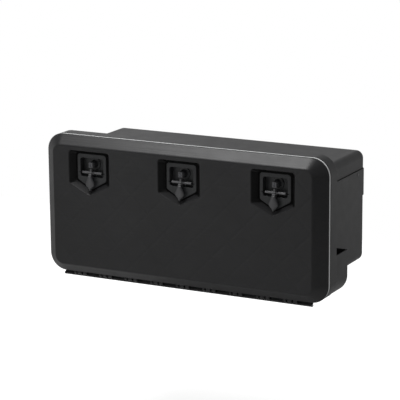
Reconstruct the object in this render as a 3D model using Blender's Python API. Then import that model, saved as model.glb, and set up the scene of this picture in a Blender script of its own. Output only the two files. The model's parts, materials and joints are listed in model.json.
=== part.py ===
"""Lockable moulded tool box for the side of a vehicle.

A deep plastic tub with a wide front collar is closed by a drop-down door that
turns on a long knuckle hinge below it. Three pull locks draw spring-loaded
latch bolts down from behind the collar's lip. Sizes are in metres, +Z is up
and the front faces -Y. The world's origin is the middle of the flat underside.

Most shapes are drawn in the front frame: x from the middle, y backwards from
the seam between door and collar, z up from the lower edge of the door.
Lock pieces are drawn about the pivot of their lever, key pieces about the key.
"""

import math

import bmesh
import bpy
from mathutils import Matrix, Vector

# Front outline, shared by the door, the seal and the collar
BOX_WIDTH = 1.000
FRONT_HEIGHT = 0.458
FRONT_CORNER = 0.058
WALL = 0.004
TOUCH_GAP = 0.0003
CUT_OVERRUN = 0.003
FUSE_DEPTH = 0.002
CORNER_STEPS = 6
SMALL_STEPS = 3
SMOOTH_ANGLE = math.radians(35)
MILLIMETRES = 1000

# Seal and seam
SEAM_WIDTH = 0.010
SEAL_INSET = 0.0008
SEAL_THICKNESS = 0.008
SEAL_EDGE = 0.0015

# Collar and tub
COLLAR_DEPTH = 0.054
LIP_HEIGHT = 0.014
COLLAR_EDGE = 0.002
BODY_DEPTH = 0.325
BODY_SIDE_STEP = 0.049
BODY_TOP_STEP = 0.052
BODY_BOTTOM_STEP = 0.046
BODY_DRAFT = 0.004
BODY_CORNER = 0.024
BODY_EDGE = 0.018
EDGE_STEPS = 4

# Feet, the hollow boots that carry the collar's corners back under the tub
FOOT_DEPTH = 0.087
FOOT_HEIGHT = 0.142
FOOT_UNDERCUT = 0.018
FOOT_BURIED_SHARE = 0.75
FOOT_INSET = 0.001
FOOT_SKIN = 0.001
FOOT_CORNER_STEPS = 5

# Raised band round the sides and back, and the ribs of the back wall
BAND_BELOW_TOP = 0.054
BAND_HEIGHT = 0.087
BAND_PROUD = 0.003
REAR_RIB_COUNT = 5
REAR_RIB_WIDTH = 0.022
REAR_RIB_MARGIN = 0.034
REAR_RIB_PROUD = 0.0022
PLUG_BEFORE_BACK = 0.056
PLUG_BELOW_BAND_TOP = 0.012
PLUG_HEAD_RADIUS = 0.005
PLUG_HEAD_THICKNESS = 0.0018
PLUG_STEM_RADIUS = 0.003

# Door shell
DOOR_DEPTH = 0.0425
RIM_DEPTH = 0.012
RIM_WALL = 0.001
RIM_SIDE_INSET = 0.005
RIM_TOP_INSET = 0.001
RIM_BOTTOM_INSET = 0.002
RIM_ROUND_INSET_SHARE = 0.3
RIM_ROUND_DEPTH_SHARE = 0.53
FACE_SIDE_INSET = 0.0404
FACE_TOP_INSET = 0.031
FACE_BOTTOM_INSET = 0.032
FACE_CORNER = 0.026
FACE_EDGE = 0.006
DOOR_WALL = 0.0035

# Diamond ribs on the inner side of the door
RIB_PITCH = 0.081
RIB_THICKNESS = 0.0028
RIB_HEIGHT = 0.012
RIB_MARGIN = 0.006

# Hinge along the lower edge
HINGE_BACK = 0.002
HINGE_DROP = 0.0116
KNUCKLE_RADIUS = 0.0045
KNUCKLE_STEPS = 14
ROD_RADIUS = 0.002
ROD_GAP = 0.0003
ROD_STEPS = 12
HINGE_LEFT_MARGIN = 0.050
HINGE_RIGHT_MARGIN = 0.058
KNUCKLE_GAP = 0.0006
KNUCKLE_COUNT = 10
BODY_KNUCKLE_SHARE = 0.506
FIRST_KNUCKLE_CUT_SHARE = 0.105
WEB_THICKNESS = 0.003
WEB_HOLE_SHARES = ((0.153, 0.284), (0.591, 0.722))
ROD_CAP_RADIUS = 0.0042
ROD_CAP_THICKNESS = 0.0025
ROD_CAP_OVERLAP = 0.001

# Places of the three locks
LOCK_SIDE_MARGIN = 0.1735
PIVOT_BELOW_TOP = 0.1174
PIVOT_BEHIND_FACE = 0.021

# Shield pocket pressed into the door round each lock, at the face
POCKET_HALF_WIDTH = 0.075
POCKET_TOP = 0.0734
POCKET_SHOULDER = -0.0356
POCKET_TIP = -0.0706
POCKET_CORNER = 0.010

# Lock plate, a shield with a finger window, and the cup behind the window
PLATE_BEHIND_FACE = 0.019
PLATE_THICKNESS = 0.003
PLATE_HALF_WIDTH = 0.057
PLATE_TOP = 0.0654
PLATE_SHOULDER = -0.0266
PLATE_TIP = -0.0586
PLATE_CORNER = 0.010
PLATE_POINT_RADIUS = 0.004
PLATE_EDGE = 0.001
PLATE_GAP = 0.001
WINDOW_HALF_WIDTH = 0.042
WINDOW_TOP = 0.0479
WINDOW_BOTTOM = -0.0136
WINDOW_CORNER = 0.008
CUP_DEPTH = 0.0225
CUP_WALL = 0.0025
CUP_CLEARANCE = 0.0025
BOSS_RADIUS = 0.0038
BOSS_SIDE = 0.049
BOSS_TOP = 0.057
BOSS_BOTTOM = -0.026
BOSS_HEIGHT = 0.007

# Key tower on the floor of the cup
KEY_ABOVE_PIVOT = 0.0263
TOWER_FOOT_RADIUS = 0.0200
TOWER_FOOT_HEIGHT = 0.0035
TOWER_RADIUS = 0.0125
TOWER_TOP_RADIUS = 0.0097
TOWER_HEIGHT = 0.0195
KEY_BODY_RADIUS = 0.0070
KEY_BLOCK_WIDTH = 0.0150
KEY_BLOCK_HEIGHT = 0.0166
KEY_BLOCK_DEPTH = 0.0107
KEY_BLOCK_EDGE = 0.0012
KEY_PLUG_RADIUS = 0.0052
KEY_SLOT_WIDTH = 0.0016
KEY_SLOT_HEIGHT = 0.0072
KEY_SLOT_DEPTH = 0.008
ROUND_STEPS = 20

# Pull lever: round bar on the pivot, leaf below, tab above, drive arm behind
BAR_RADIUS = 0.0041
BAR_HALF_LENGTH = 0.0365
PIN_RADIUS = 0.002
PIN_OVERHANG = 0.0008
LEAF_FRONT = -0.0165
LEAF_THICKNESS = 0.005
LEAF_TOP = -0.0076
LEAF_LENGTH = 0.0484
LEAF_HALF_WIDTH = 0.0145
LEAF_WIDTH_SHARES = (0.20, 0.42, 0.70, 0.92, 1.00, 0.94, 0.74, 0.48, 0.33, 0.27, 0.20)
LEAF_EDGE = 0.0012
ROOT_HALF_WIDTH = 0.0045
ROOT_BELOW = 0.012
ROOT_ABOVE = 0.002
TAB_WIDTH = 0.005
TAB_FRONT = -0.0095
TAB_BACK = -0.0050
TAB_TOP = 0.0139
ARM_WIDTH = 0.006
ARM_HEIGHT = 0.005
ARM_REACH = 0.035
LEVER_SWING = math.radians(30)

# Latch bolt and the steel plate that guides it behind the cup
GUIDE_THICKNESS = 0.0015
GUIDE_HALF_WIDTH = 0.022
GUIDE_TOP = 0.072
GUIDE_BOTTOM = -0.054
GUIDE_SLOT_SIDE = 0.0035
STRAP_HEIGHT = 0.010
STRAP_LOW = 0.014
STRAP_HIGH = 0.056
SEAT_REACH = 0.0115
BOLT_HALF_WIDTH = 0.013
BOLT_THICKNESS = 0.003
BOLT_BOTTOM = -0.0226
BOLT_JOG_LOW = 0.084
BOLT_JOG_HIGH = 0.092
BOLT_TOP_CLEARANCE = 0.005
BOLT_BEHIND_LIP = 0.004
BOLT_SLOT_SIDE = 0.001
BOLT_SLOT_SPARE = 0.0011
BOLT_LEAD = 0.002

# Return spring below the bolt
SPRING_RADIUS = 0.0039
SPRING_WIRE = 0.0006
SPRING_TURNS = 6
SPRING_TURN_POINTS = 9

# Keeper screwed behind the collar's lip above each bolt
KEEPER_HALF_WIDTH = 0.022
KEEPER_THICKNESS = 0.002
KEEPER_BELOW_LIP = 0.004
KEEPER_DEPTH = 0.021

# Places worked out from the sizes above
HALF_WIDTH = BOX_WIDTH / 2
COLLAR_FRONT = SEAM_WIDTH / 2
DOOR_BACK = -SEAM_WIDTH / 2
BODY_BACK = COLLAR_DEPTH + BODY_DEPTH
BODY_HALF_WIDTH = HALF_WIDTH - BODY_SIDE_STEP
BODY_TOP = FRONT_HEIGHT - BODY_TOP_STEP
BAND_TOP = BODY_TOP - BAND_BELOW_TOP
PLUG_BACK = BODY_BACK - PLUG_BEFORE_BACK
PLUG_HEIGHT = BAND_TOP - PLUG_BELOW_BAND_TOP
FRONT_FRAME = Vector((0, -(COLLAR_DEPTH + BODY_BACK) / 2, -BODY_BOTTOM_STEP))
HINGE_AXIS = Vector((0, HINGE_BACK, -HINGE_DROP))
HINGE_LEFT = HINGE_LEFT_MARGIN - HALF_WIDTH
HINGE_RIGHT = HALF_WIDTH - HINGE_RIGHT_MARGIN
LOCK_SIDE_OFFSET = HALF_WIDTH - LOCK_SIDE_MARGIN
LOCK_OFFSETS = {
    "left": -LOCK_SIDE_OFFSET,
    "middle": 0,
    "right": LOCK_SIDE_OFFSET,
}
PIVOT_HEIGHT = FRONT_HEIGHT - PIVOT_BELOW_TOP
PIVOT_BACK = PIVOT_BEHIND_FACE - DOOR_DEPTH
FACE = -PIVOT_BEHIND_FACE
PLATE_FRONT = PLATE_BEHIND_FACE - PIVOT_BEHIND_FACE
PLATE_BACK = PLATE_FRONT + PLATE_THICKNESS
CUP_FLOOR = PLATE_FRONT + CUP_DEPTH
CUP_BACK = CUP_FLOOR + CUP_WALL
KEY_AXIS = Vector((0, 0, KEY_ABOVE_PIVOT))
TOWER_FRONT = CUP_FLOOR - TOWER_HEIGHT
GUIDE_FRONT = CUP_BACK + TOUCH_GAP
GUIDE_BACK = GUIDE_FRONT + GUIDE_THICKNESS
BOLT_FRONT = GUIDE_BACK + TOUCH_GAP
BOLT_BACK = BOLT_FRONT + BOLT_THICKNESS
LIP_BACK = COLLAR_FRONT + WALL - PIVOT_BACK
TONGUE_FRONT = LIP_BACK + BOLT_BEHIND_LIP
TONGUE_BACK = TONGUE_FRONT + BOLT_THICKNESS
COLLAR_CEILING = FRONT_HEIGHT - WALL - PIVOT_HEIGHT
BOLT_TOP = COLLAR_CEILING - BOLT_TOP_CLEARANCE


def add_object(name, mesh):
    """Put a mesh in the scene under its own name."""
    found = bpy.data.objects.new(name, mesh)
    bpy.context.scene.collection.objects.link(found)
    return found


def object_from_bmesh(name, shape):
    """Turn a bmesh into an object whose faces point outwards."""
    bmesh.ops.recalc_face_normals(shape, faces=shape.faces)
    mesh = bpy.data.meshes.new(name)
    shape.to_mesh(mesh)
    shape.free()
    return add_object(name, mesh)


def add_empty(name, place, parent=None):
    """An empty that carries pieces and marks an axis."""
    found = add_object(name, None)
    found.location = place
    found.parent = parent
    return found


def arc_corner(before, corner, after, radius, steps):
    """Points that round one corner of an outline; points are (across, up)."""
    back = (before - corner).normalized()
    ahead = (after - corner).normalized()
    half_angle = back.angle(ahead) / 2
    reach = radius / math.tan(half_angle)
    centre = corner + (back + ahead).normalized() * radius / math.sin(half_angle)
    start = corner + back * reach - centre
    turn = start.angle_signed(corner + ahead * reach - centre)
    found = []
    for step in range(steps + 1):
        angle = -turn * step / steps
        rotated = Matrix.Rotation(angle, 2) @ start
        found.append(centre + rotated)
    return found


def rounded_outline(corners, radii, steps=CORNER_STEPS):
    """A closed outline with every corner rounded to its own radius."""
    corners = [Vector(corner) for corner in corners]
    found = []
    for index, corner in enumerate(corners):
        before = corners[index - 1]
        after = corners[(index + 1) % len(corners)]
        found += arc_corner(before, corner, after, radii[index], steps)
    return found


def box_outline(half_width, bottom, top, radius, steps=CORNER_STEPS):
    """A rectangle with round corners, counter-clockwise from below right."""
    corners = (
        (half_width, bottom),
        (half_width, top),
        (-half_width, top),
        (-half_width, bottom),
    )
    return rounded_outline(corners, (radius,) * len(corners), steps)


def front_outline(inset, steps=CORNER_STEPS):
    """The outline that door, seal and collar share, drawn in by an inset."""
    top = FRONT_HEIGHT - inset
    return box_outline(HALF_WIDTH - inset, inset, top, FRONT_CORNER - inset, steps)


def shield_outline(half_width, top, shoulder, tip, corner, point, steps=SMALL_STEPS):
    """A shield: square above, drawn down to a point below."""
    corners = (
        (0, tip),
        (half_width, shoulder),
        (half_width, top),
        (-half_width, top),
        (-half_width, shoulder),
    )
    return rounded_outline(corners, (point, corner, corner, corner, corner), steps)


def ring_at(shape, outline, depth):
    """Vertices of an outline that faces forwards, at one depth."""
    return [shape.verts.new((point.x, depth, point.y)) for point in outline]


def bridge(shape, front, back):
    """Faces between two rings that have as many points."""
    count = len(front)
    for index in range(count):
        after = (index + 1) % count
        corners = (front[index], back[index], back[after], front[after])
        shape.faces.new(corners)


def loft(outlines, cap_front=True, cap_back=True):
    """A skin through outlines, each given with its depth."""
    shape = bmesh.new()
    rings = [ring_at(shape, outline, depth) for outline, depth in outlines]
    for front, back in zip(rings, rings[1:]):
        bridge(shape, front, back)
    if cap_front:
        shape.faces.new(rings[0])
    if cap_back:
        shape.faces.new(reversed(rings[-1]))
    return shape


def cup(outer, inner):
    """A walled hollow, open at the front, through outer and inner outlines."""
    shape = bmesh.new()
    outside = [ring_at(shape, outline, depth) for outline, depth in outer]
    inside = [ring_at(shape, outline, depth) for outline, depth in inner]
    for front, back in zip(outside, outside[1:]):
        bridge(shape, front, back)
    for front, back in zip(inside, inside[1:]):
        bridge(shape, back, front)
    bridge(shape, inside[0], outside[0])
    shape.faces.new(reversed(outside[-1]))
    shape.faces.new(inside[-1])
    return shape


def box(low, high):
    """A plain block between two corners."""
    shape = bmesh.new()
    bmesh.ops.create_cube(shape, size=1)
    size = Vector(high) - Vector(low)
    middle = (Vector(high) + Vector(low)) / 2
    bmesh.ops.scale(shape, vec=size, verts=shape.verts)
    bmesh.ops.translate(shape, vec=middle, verts=shape.verts)
    return shape


def prism_along_x(profile, start, end):
    """Extrude a closed (back, up) profile from one x to another."""
    shape = bmesh.new()
    ring = [shape.verts.new((start, back, up)) for back, up in profile]
    face = shape.faces.new(ring)
    extruded = bmesh.ops.extrude_face_region(shape, geom=[face])
    far = [item for item in extruded["geom"] if isinstance(item, bmesh.types.BMVert)]
    bmesh.ops.translate(shape, vec=(end - start, 0, 0), verts=far)
    return shape


def prism_along_z(plan, low, high):
    """Extrude a closed (across, back) plan from one height to another."""
    shape = bmesh.new()
    ring = [shape.verts.new((across, back, low)) for across, back in plan]
    face = shape.faces.new(ring)
    extruded = bmesh.ops.extrude_face_region(shape, geom=[face])
    raised = [item for item in extruded["geom"] if isinstance(item, bmesh.types.BMVert)]
    bmesh.ops.translate(shape, vec=(0, 0, high - low), verts=raised)
    return shape


def prism_along_y(outline, front, back):
    """Extrude a closed (across, up) outline from one depth to another."""
    return loft(((outline, front), (outline, back)))


def cylinder(radius, start, end, axis="X", steps=ROUND_STEPS):
    """A round bar between two places along one axis."""
    shape = bmesh.new()
    bmesh.ops.create_cone(
        shape, cap_ends=True, segments=steps, radius1=radius, radius2=radius,
        depth=end - start,
    )
    bmesh.ops.translate(shape, vec=(0, 0, (start + end) / 2), verts=shape.verts)
    turns = {
        "X": Matrix.Rotation(math.radians(90), 3, "Y"),
        "Y": Matrix.Rotation(math.radians(-90), 3, "X"),
        "Z": Matrix.Identity(3),
    }
    bmesh.ops.rotate(shape, matrix=turns[axis], verts=shape.verts)
    return shape


def turned_solid(profile, steps=ROUND_STEPS):
    """Revolve an open (radius, depth) profile that starts and ends on the axis."""
    shape = bmesh.new()
    ring = [shape.verts.new((radius, depth, 0)) for radius, depth in profile]
    edges = [shape.edges.new(pair) for pair in zip(ring, ring[1:])]
    bmesh.ops.spin(
        shape, geom=ring + edges, axis=(0, 1, 0), cent=(0, 0, 0),
        angle=math.tau, steps=steps, use_merge=True,
    )
    bmesh.ops.remove_doubles(shape, verts=shape.verts, dist=TOUCH_GAP / 3)
    return shape


def moved(shape, offset):
    """Shift a whole bmesh."""
    bmesh.ops.translate(shape, vec=offset, verts=shape.verts)
    return shape


def combine(target, shapes, operation):
    """Join bmeshes to an object, or cut them from it, and keep the result."""
    operands = bpy.data.collections.new("operands")
    bpy.context.scene.collection.children.link(operands)
    for shape in shapes:
        piece = object_from_bmesh("operand", shape)
        bpy.context.scene.collection.objects.unlink(piece)
        operands.objects.link(piece)
    boolean = target.modifiers.new("combine", "BOOLEAN")
    boolean.operation = operation
    boolean.operand_type = "COLLECTION"
    boolean.collection = operands
    boolean.solver = "EXACT"
    keep_result(target)
    for piece in list(operands.objects):
        bpy.data.objects.remove(piece)
    bpy.data.collections.remove(operands)
    return target


def keep_result(target):
    """Replace an object's mesh with what its modifiers make of it."""
    graph = bpy.context.evaluated_depsgraph_get()
    result = bpy.data.meshes.new_from_object(target.evaluated_get(graph))
    target.modifiers.clear()
    target.data = result


def solidify(target, thickness):
    """Give an open skin a wall on its inner side."""
    wall = target.modifiers.new("wall", "SOLIDIFY")
    wall.thickness = thickness
    wall.offset = -1
    wall.use_even_offset = True
    keep_result(target)
    return target


def finish(target, parent, material):
    """Hang a finished piece from its carrier and give it its material."""
    target.parent = parent
    target.data.materials.clear()
    target.data.materials.append(material)
    target.data.shade_smooth()
    target.data.set_sharp_from_angle(angle=SMOOTH_ANGLE)
    return target


def make_material(name, colour, roughness, metallic=0):
    """A plain principled material."""
    found = bpy.data.materials.new(name)
    found.use_nodes = True
    shader = found.node_tree.nodes["Principled BSDF"]
    shader.inputs["Base Color"].default_value = (*colour, 1)
    shader.inputs["Roughness"].default_value = roughness
    shader.inputs["Metallic"].default_value = metallic
    found.diffuse_color = (*colour, 1)
    return found


def make_materials():
    """The finishes of the box."""
    return {
        "black_plastic": make_material("black_plastic", (0.022, 0.022, 0.022), 0.45),
        "lock_plastic": make_material("lock_plastic", (0.035, 0.035, 0.035), 0.5),
        "grey_seal": make_material("grey_seal", (0.35, 0.35, 0.35), 0.6),
        "zinc_steel": make_material("zinc_steel", (0.6, 0.6, 0.6), 0.35, 1),
        "spring_steel": make_material("spring_steel", (0.5, 0.5, 0.5), 0.3, 1),
    }


def body_half_width(depth):
    """Half the tub's width, which narrows a little towards the back."""
    return BODY_HALF_WIDTH - BODY_DRAFT * (depth - COLLAR_DEPTH) / BODY_DEPTH


def body_outline(depth, inset=0):
    """The tub's outline at one depth behind the collar."""
    return box_outline(
        body_half_width(depth) - inset,
        BODY_BOTTOM_STEP + inset,
        BODY_TOP - inset,
        BODY_CORNER - inset,
    )


def rounded_back(inset):
    """Outlines of the tub from its step to its rounded back wall."""
    start = COLLAR_DEPTH - inset
    found = [(body_outline(start, inset), start)]
    radius = BODY_EDGE - inset
    for step in range(EDGE_STEPS + 1):
        angle = math.pi / 2 * step / EDGE_STEPS
        further = radius * (1 - math.cos(angle))
        depth = BODY_BACK - BODY_EDGE + radius * math.sin(angle)
        found.append((body_outline(depth, inset + further), depth))
    return found


def make_tub():
    """Lip, collar, step, side walls and rounded back as one walled hollow."""
    step_front = COLLAR_DEPTH - WALL
    outer = [
        (front_outline(COLLAR_EDGE), COLLAR_FRONT),
        (front_outline(0), COLLAR_FRONT + COLLAR_EDGE),
        (front_outline(0), COLLAR_DEPTH - COLLAR_EDGE),
        (front_outline(COLLAR_EDGE), COLLAR_DEPTH),
    ]
    inner = [
        (front_outline(LIP_HEIGHT), COLLAR_FRONT),
        (front_outline(LIP_HEIGHT), COLLAR_FRONT + WALL),
        (front_outline(WALL), COLLAR_FRONT + WALL),
        (front_outline(WALL), step_front),
    ]
    shape = cup(outer + rounded_back(0), inner + rounded_back(WALL))
    return object_from_bmesh("body_tub", shape)


def foot_outline():
    """Outline of the right foot: collar corner below, tub corner inside."""
    inner = HALF_WIDTH - FRONT_CORNER - FOOT_UNDERCUT
    outer = HALF_WIDTH - FOOT_INSET
    below = box_outline(outer, FOOT_INSET, FRONT_HEIGHT, FRONT_CORNER, FOOT_CORNER_STEPS)
    buried = body_outline(COLLAR_DEPTH, WALL / 2)[:CORNER_STEPS + 1]
    found = [Vector((inner, FOOT_INSET))]
    found += below[:FOOT_CORNER_STEPS + 1]
    found.append(Vector((outer, FOOT_HEIGHT)))
    found.append(Vector((buried[-1].x, FOOT_HEIGHT)))
    found += reversed(buried)
    found.append(Vector((inner, BODY_BOTTOM_STEP + WALL / 2)))
    return found


def foot_cavity():
    """Outline of the hollow inside the right foot, open above, clear of the tub."""
    inner = HALF_WIDTH - FRONT_CORNER - FOOT_UNDERCUT + WALL
    inset = FOOT_INSET + WALL
    above = FOOT_HEIGHT + CUT_OVERRUN
    beside = body_outline(COLLAR_DEPTH, -FOOT_SKIN)[:CORNER_STEPS + 1]
    found = [Vector((inner, inset))]
    found += front_outline(inset)[:CORNER_STEPS + 1]
    found.append(Vector((HALF_WIDTH - inset, above)))
    found.append(Vector((beside[-1].x, above)))
    found += reversed(beside)
    found.append(Vector((inner, BODY_BOTTOM_STEP - FOOT_SKIN)))
    return found


def mirrored(outline):
    """The same outline on the left side."""
    return [Vector((-point.x, point.y)) for point in reversed(outline)]


def make_foot(side):
    """One foot, still solid, to be fused to the tub."""
    front = COLLAR_DEPTH - WALL * FOOT_BURIED_SHARE
    outline = foot_outline() if side > 0 else mirrored(foot_outline())
    return prism_along_y(outline, front, COLLAR_DEPTH + FOOT_DEPTH)


def make_foot_hollow(side):
    """Cutter for the space inside one foot."""
    back = COLLAR_DEPTH + FOOT_DEPTH - WALL
    outline = foot_cavity() if side > 0 else mirrored(foot_cavity())
    return prism_along_y(outline, COLLAR_DEPTH + FOOT_SKIN, back)


def plan_outline(offset):
    """The tub's plan from the collar round the back, moved out by an offset."""
    start = COLLAR_DEPTH - WALL / 2
    side = body_half_width(BODY_BACK) + offset
    back = BODY_BACK + offset
    radius = BODY_EDGE + offset
    corner = Vector((side - radius, back - radius))
    right = [Vector((body_half_width(start) + offset, start))]
    for step in range(EDGE_STEPS + 1):
        angle = math.pi / 2 * step / EDGE_STEPS
        right.append(corner + radius * Vector((math.cos(angle), math.sin(angle))))
    return right + [Vector((-point.x, point.y)) for point in reversed(right)]


def make_band():
    """Raised band that runs along both sides and across the back."""
    path = plan_outline(BAND_PROUD) + list(reversed(plan_outline(-WALL / 2)))
    return prism_along_z(path, BAND_TOP - BAND_HEIGHT, BAND_TOP)


def make_rear_ribs():
    """Upright stiffening ribs on the back wall, a little lower than the band."""
    low = BODY_BOTTOM_STEP + REAR_RIB_MARGIN
    high = BODY_TOP - REAR_RIB_MARGIN
    pitch = 2 * BODY_HALF_WIDTH / (REAR_RIB_COUNT + 1)
    half = REAR_RIB_WIDTH / 2
    found = []
    for index in range(REAR_RIB_COUNT):
        middle = pitch * (index - (REAR_RIB_COUNT - 1) / 2)
        outline = box_outline(half, low, high, half - REAR_RIB_PROUD, SMALL_STEPS)
        shape = prism_along_y(outline, BODY_BACK - WALL / 4, BODY_BACK + REAR_RIB_PROUD)
        found.append(moved(shape, (middle, 0, 0)))
    return found


def body_knuckle_spans():
    """Start and end of each knuckle that belongs to the collar."""
    pitches = KNUCKLE_COUNT - 1 + BODY_KNUCKLE_SHARE - FIRST_KNUCKLE_CUT_SHARE
    pitch = (HINGE_RIGHT - HINGE_LEFT) / pitches
    found = []
    for index in range(KNUCKLE_COUNT):
        start = HINGE_LEFT + (index - FIRST_KNUCKLE_CUT_SHARE) * pitch
        end = start + BODY_KNUCKLE_SHARE * pitch
        found.append((max(start, HINGE_LEFT), end))
    return found


def door_knuckle_spans():
    """Start and end of each knuckle that belongs to the door."""
    own = body_knuckle_spans()
    return [
        (left[1] + KNUCKLE_GAP, right[0] - KNUCKLE_GAP)
        for left, right in zip(own, own[1:])
    ]


def knuckle_barrel(start, end):
    """A solid barrel on the hinge axis; the rod's hole is cut later."""
    shape = cylinder(KNUCKLE_RADIUS, start, end, "X", KNUCKLE_STEPS)
    return moved(shape, HINGE_AXIS)


def body_knuckle_web(start, end):
    """Plate that hangs a body knuckle from the underside of the collar."""
    front = HINGE_AXIS.y - ROD_RADIUS / 2
    back = COLLAR_FRONT + COLLAR_EDGE + WEB_THICKNESS
    seat = COLLAR_FRONT + COLLAR_EDGE
    profile = (
        (seat, FUSE_DEPTH),
        (seat, -TOUCH_GAP),
        (front, HINGE_AXIS.z + KNUCKLE_RADIUS - FUSE_DEPTH),
        (front, HINGE_AXIS.z),
        (HINGE_AXIS.y + KNUCKLE_RADIUS - FUSE_DEPTH / 2, HINGE_AXIS.z),
        (back, HINGE_AXIS.z / 2),
        (back, FUSE_DEPTH),
    )
    return prism_along_x(profile, start, end)


def door_knuckle_web(start, end):
    """Plate that hangs a door knuckle from the lower rim of the door."""
    back = HINGE_AXIS.y - ROD_RADIUS / 2
    seat = DOOR_BACK - TOUCH_GAP
    front = seat - WEB_THICKNESS
    profile = (
        (front, FUSE_DEPTH),
        (front, HINGE_AXIS.z / 2),
        (HINGE_AXIS.y - KNUCKLE_RADIUS + FUSE_DEPTH / 2, HINGE_AXIS.z),
        (back, HINGE_AXIS.z),
        (back, HINGE_AXIS.z + KNUCKLE_RADIUS - FUSE_DEPTH),
        (seat, -TOUCH_GAP),
        (seat, FUSE_DEPTH),
    )
    return prism_along_x(profile, start, end)


def door_web_spans(start, end):
    """Stretches of web between the small openings of a door knuckle."""
    edges = [start]
    for shares in WEB_HOLE_SHARES:
        edges += [start + (end - start) * share for share in shares]
    edges.append(end)
    return list(zip(edges[0::2], edges[1::2]))


def rod_hole():
    """Cutter for the hinge rod's hole through every knuckle."""
    shape = cylinder(ROD_RADIUS + ROD_GAP, HINGE_LEFT - CUT_OVERRUN,
                     HINGE_RIGHT + CUT_OVERRUN, "X", ROD_STEPS)
    return moved(shape, HINGE_AXIS)


def plug_hole(side):
    """Cutter for the hole that takes a side plug."""
    start = BODY_HALF_WIDTH - BODY_DRAFT - WALL - CUT_OVERRUN
    end = BODY_HALF_WIDTH + BAND_PROUD + CUT_OVERRUN
    radius = PLUG_STEM_RADIUS + TOUCH_GAP
    shape = cylinder(radius, min(side * start, side * end), max(side * start, side * end),
                     "X", ROD_STEPS)
    return moved(shape, (0, PLUG_BACK, PLUG_HEIGHT))


def make_body_tub(parent, material):
    """The moulded tub with its collar, feet, band, ribs and knuckles."""
    tub = make_tub()
    joined = [make_foot(1), make_foot(-1), make_band()] + make_rear_ribs()
    for start, end in body_knuckle_spans():
        joined += [knuckle_barrel(start, end), body_knuckle_web(start, end)]
    combine(tub, joined, "UNION")
    cuts = [rod_hole()]
    for side in (-1, 1):
        cuts += [plug_hole(side), make_foot_hollow(side)]
    combine(tub, cuts, "DIFFERENCE")
    return finish(tub, parent, material)


def make_mouth_seal(parent, material):
    """Grey rubber seal in the seam, seated on the front of the lip."""
    front = DOOR_BACK + TOUCH_GAP
    back = COLLAR_FRONT - TOUCH_GAP
    inner = SEAL_INSET + SEAL_THICKNESS
    outlines = (
        (front_outline(inner), front),
        (front_outline(SEAL_INSET + SEAL_EDGE), front),
        (front_outline(SEAL_INSET), front + SEAL_EDGE),
        (front_outline(SEAL_INSET), back - SEAL_EDGE),
        (front_outline(SEAL_INSET + SEAL_EDGE), back),
        (front_outline(inner), back),
    )
    shape = loft(outlines, cap_front=False, cap_back=False)
    count = len(outlines[0][0])
    verts = list(shape.verts)
    bridge(shape, verts[-count:], verts[:count])
    return finish(object_from_bmesh("mouth_seal", shape), parent, material)


def make_hinge_rod(parent, material):
    """Steel rod through all knuckles."""
    bare = ROD_CAP_THICKNESS - ROD_CAP_OVERLAP
    shape = cylinder(ROD_RADIUS, HINGE_LEFT - bare, HINGE_RIGHT + bare, "X", ROD_STEPS)
    rod = object_from_bmesh("hinge_rod", shape)
    rod.location = HINGE_AXIS
    return finish(rod, parent, material)


def make_rod_cap(side, parent, material):
    """Push-on cap that keeps the hinge rod from walking out."""
    hole = ROD_RADIUS + TOUCH_GAP
    end = HINGE_RIGHT if side > 0 else -HINGE_LEFT
    near = end + TOUCH_GAP
    bottom = near + ROD_CAP_THICKNESS - ROD_CAP_OVERLAP
    far = bottom + ROD_CAP_OVERLAP
    profile = ((0, bottom), (hole, bottom), (hole, near), (ROD_CAP_RADIUS, near),
               (ROD_CAP_RADIUS, far - ROD_CAP_OVERLAP / 2),
               (ROD_CAP_RADIUS - ROD_CAP_OVERLAP / 2, far), (0, far))
    shape = turned_solid(profile, ROD_STEPS)
    turn = Matrix.Rotation(math.radians(-90 * side), 3, "Z")
    bmesh.ops.rotate(shape, matrix=turn, verts=shape.verts)
    name = "right_rod_cap" if side > 0 else "left_rod_cap"
    cap = object_from_bmesh(name, moved(shape, HINGE_AXIS))
    return finish(cap, parent, material)


def make_side_plug(side, parent, material):
    """Small domed plug in the band, near the back of each side."""
    seat = BODY_HALF_WIDTH + BAND_PROUD
    seat -= BODY_DRAFT * (PLUG_BACK - PLUG_HEAD_RADIUS - COLLAR_DEPTH) / BODY_DEPTH
    seat += TOUCH_GAP
    end = seat - WALL - BAND_PROUD
    rim = seat + PLUG_HEAD_THICKNESS / 2
    profile = ((0, end), (PLUG_STEM_RADIUS, end), (PLUG_STEM_RADIUS, seat),
               (PLUG_HEAD_RADIUS, seat), (PLUG_HEAD_RADIUS, rim),
               (PLUG_STEM_RADIUS, seat + PLUG_HEAD_THICKNESS),
               (0, seat + PLUG_HEAD_THICKNESS))
    shape = turned_solid(profile, ROD_STEPS)
    turn = Matrix.Rotation(math.radians(-90 * side), 3, "Z")
    bmesh.ops.rotate(shape, matrix=turn, verts=shape.verts)
    name = "right_side_plug" if side > 0 else "left_side_plug"
    plug = object_from_bmesh(name, moved(shape, (0, PLUG_BACK, PLUG_HEIGHT)))
    return finish(plug, parent, material)


def make_keeper(name, offset, parent, material):
    """Steel angle behind the collar's lip that a latch bolt hooks behind."""
    front = LIP_BACK + PIVOT_BACK + TOUCH_GAP
    low = FRONT_HEIGHT - LIP_HEIGHT - KEEPER_BELOW_LIP
    high = FRONT_HEIGHT - WALL - TOUCH_GAP
    profile = (
        (front, low),
        (front + KEEPER_THICKNESS, low),
        (front + KEEPER_THICKNESS, high - KEEPER_THICKNESS),
        (front + KEEPER_DEPTH, high - KEEPER_THICKNESS),
        (front + KEEPER_DEPTH, high),
        (front, high),
    )
    shape = prism_along_x(profile, offset - KEEPER_HALF_WIDTH, offset + KEEPER_HALF_WIDTH)
    return finish(object_from_bmesh(name, shape), parent, material)


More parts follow.
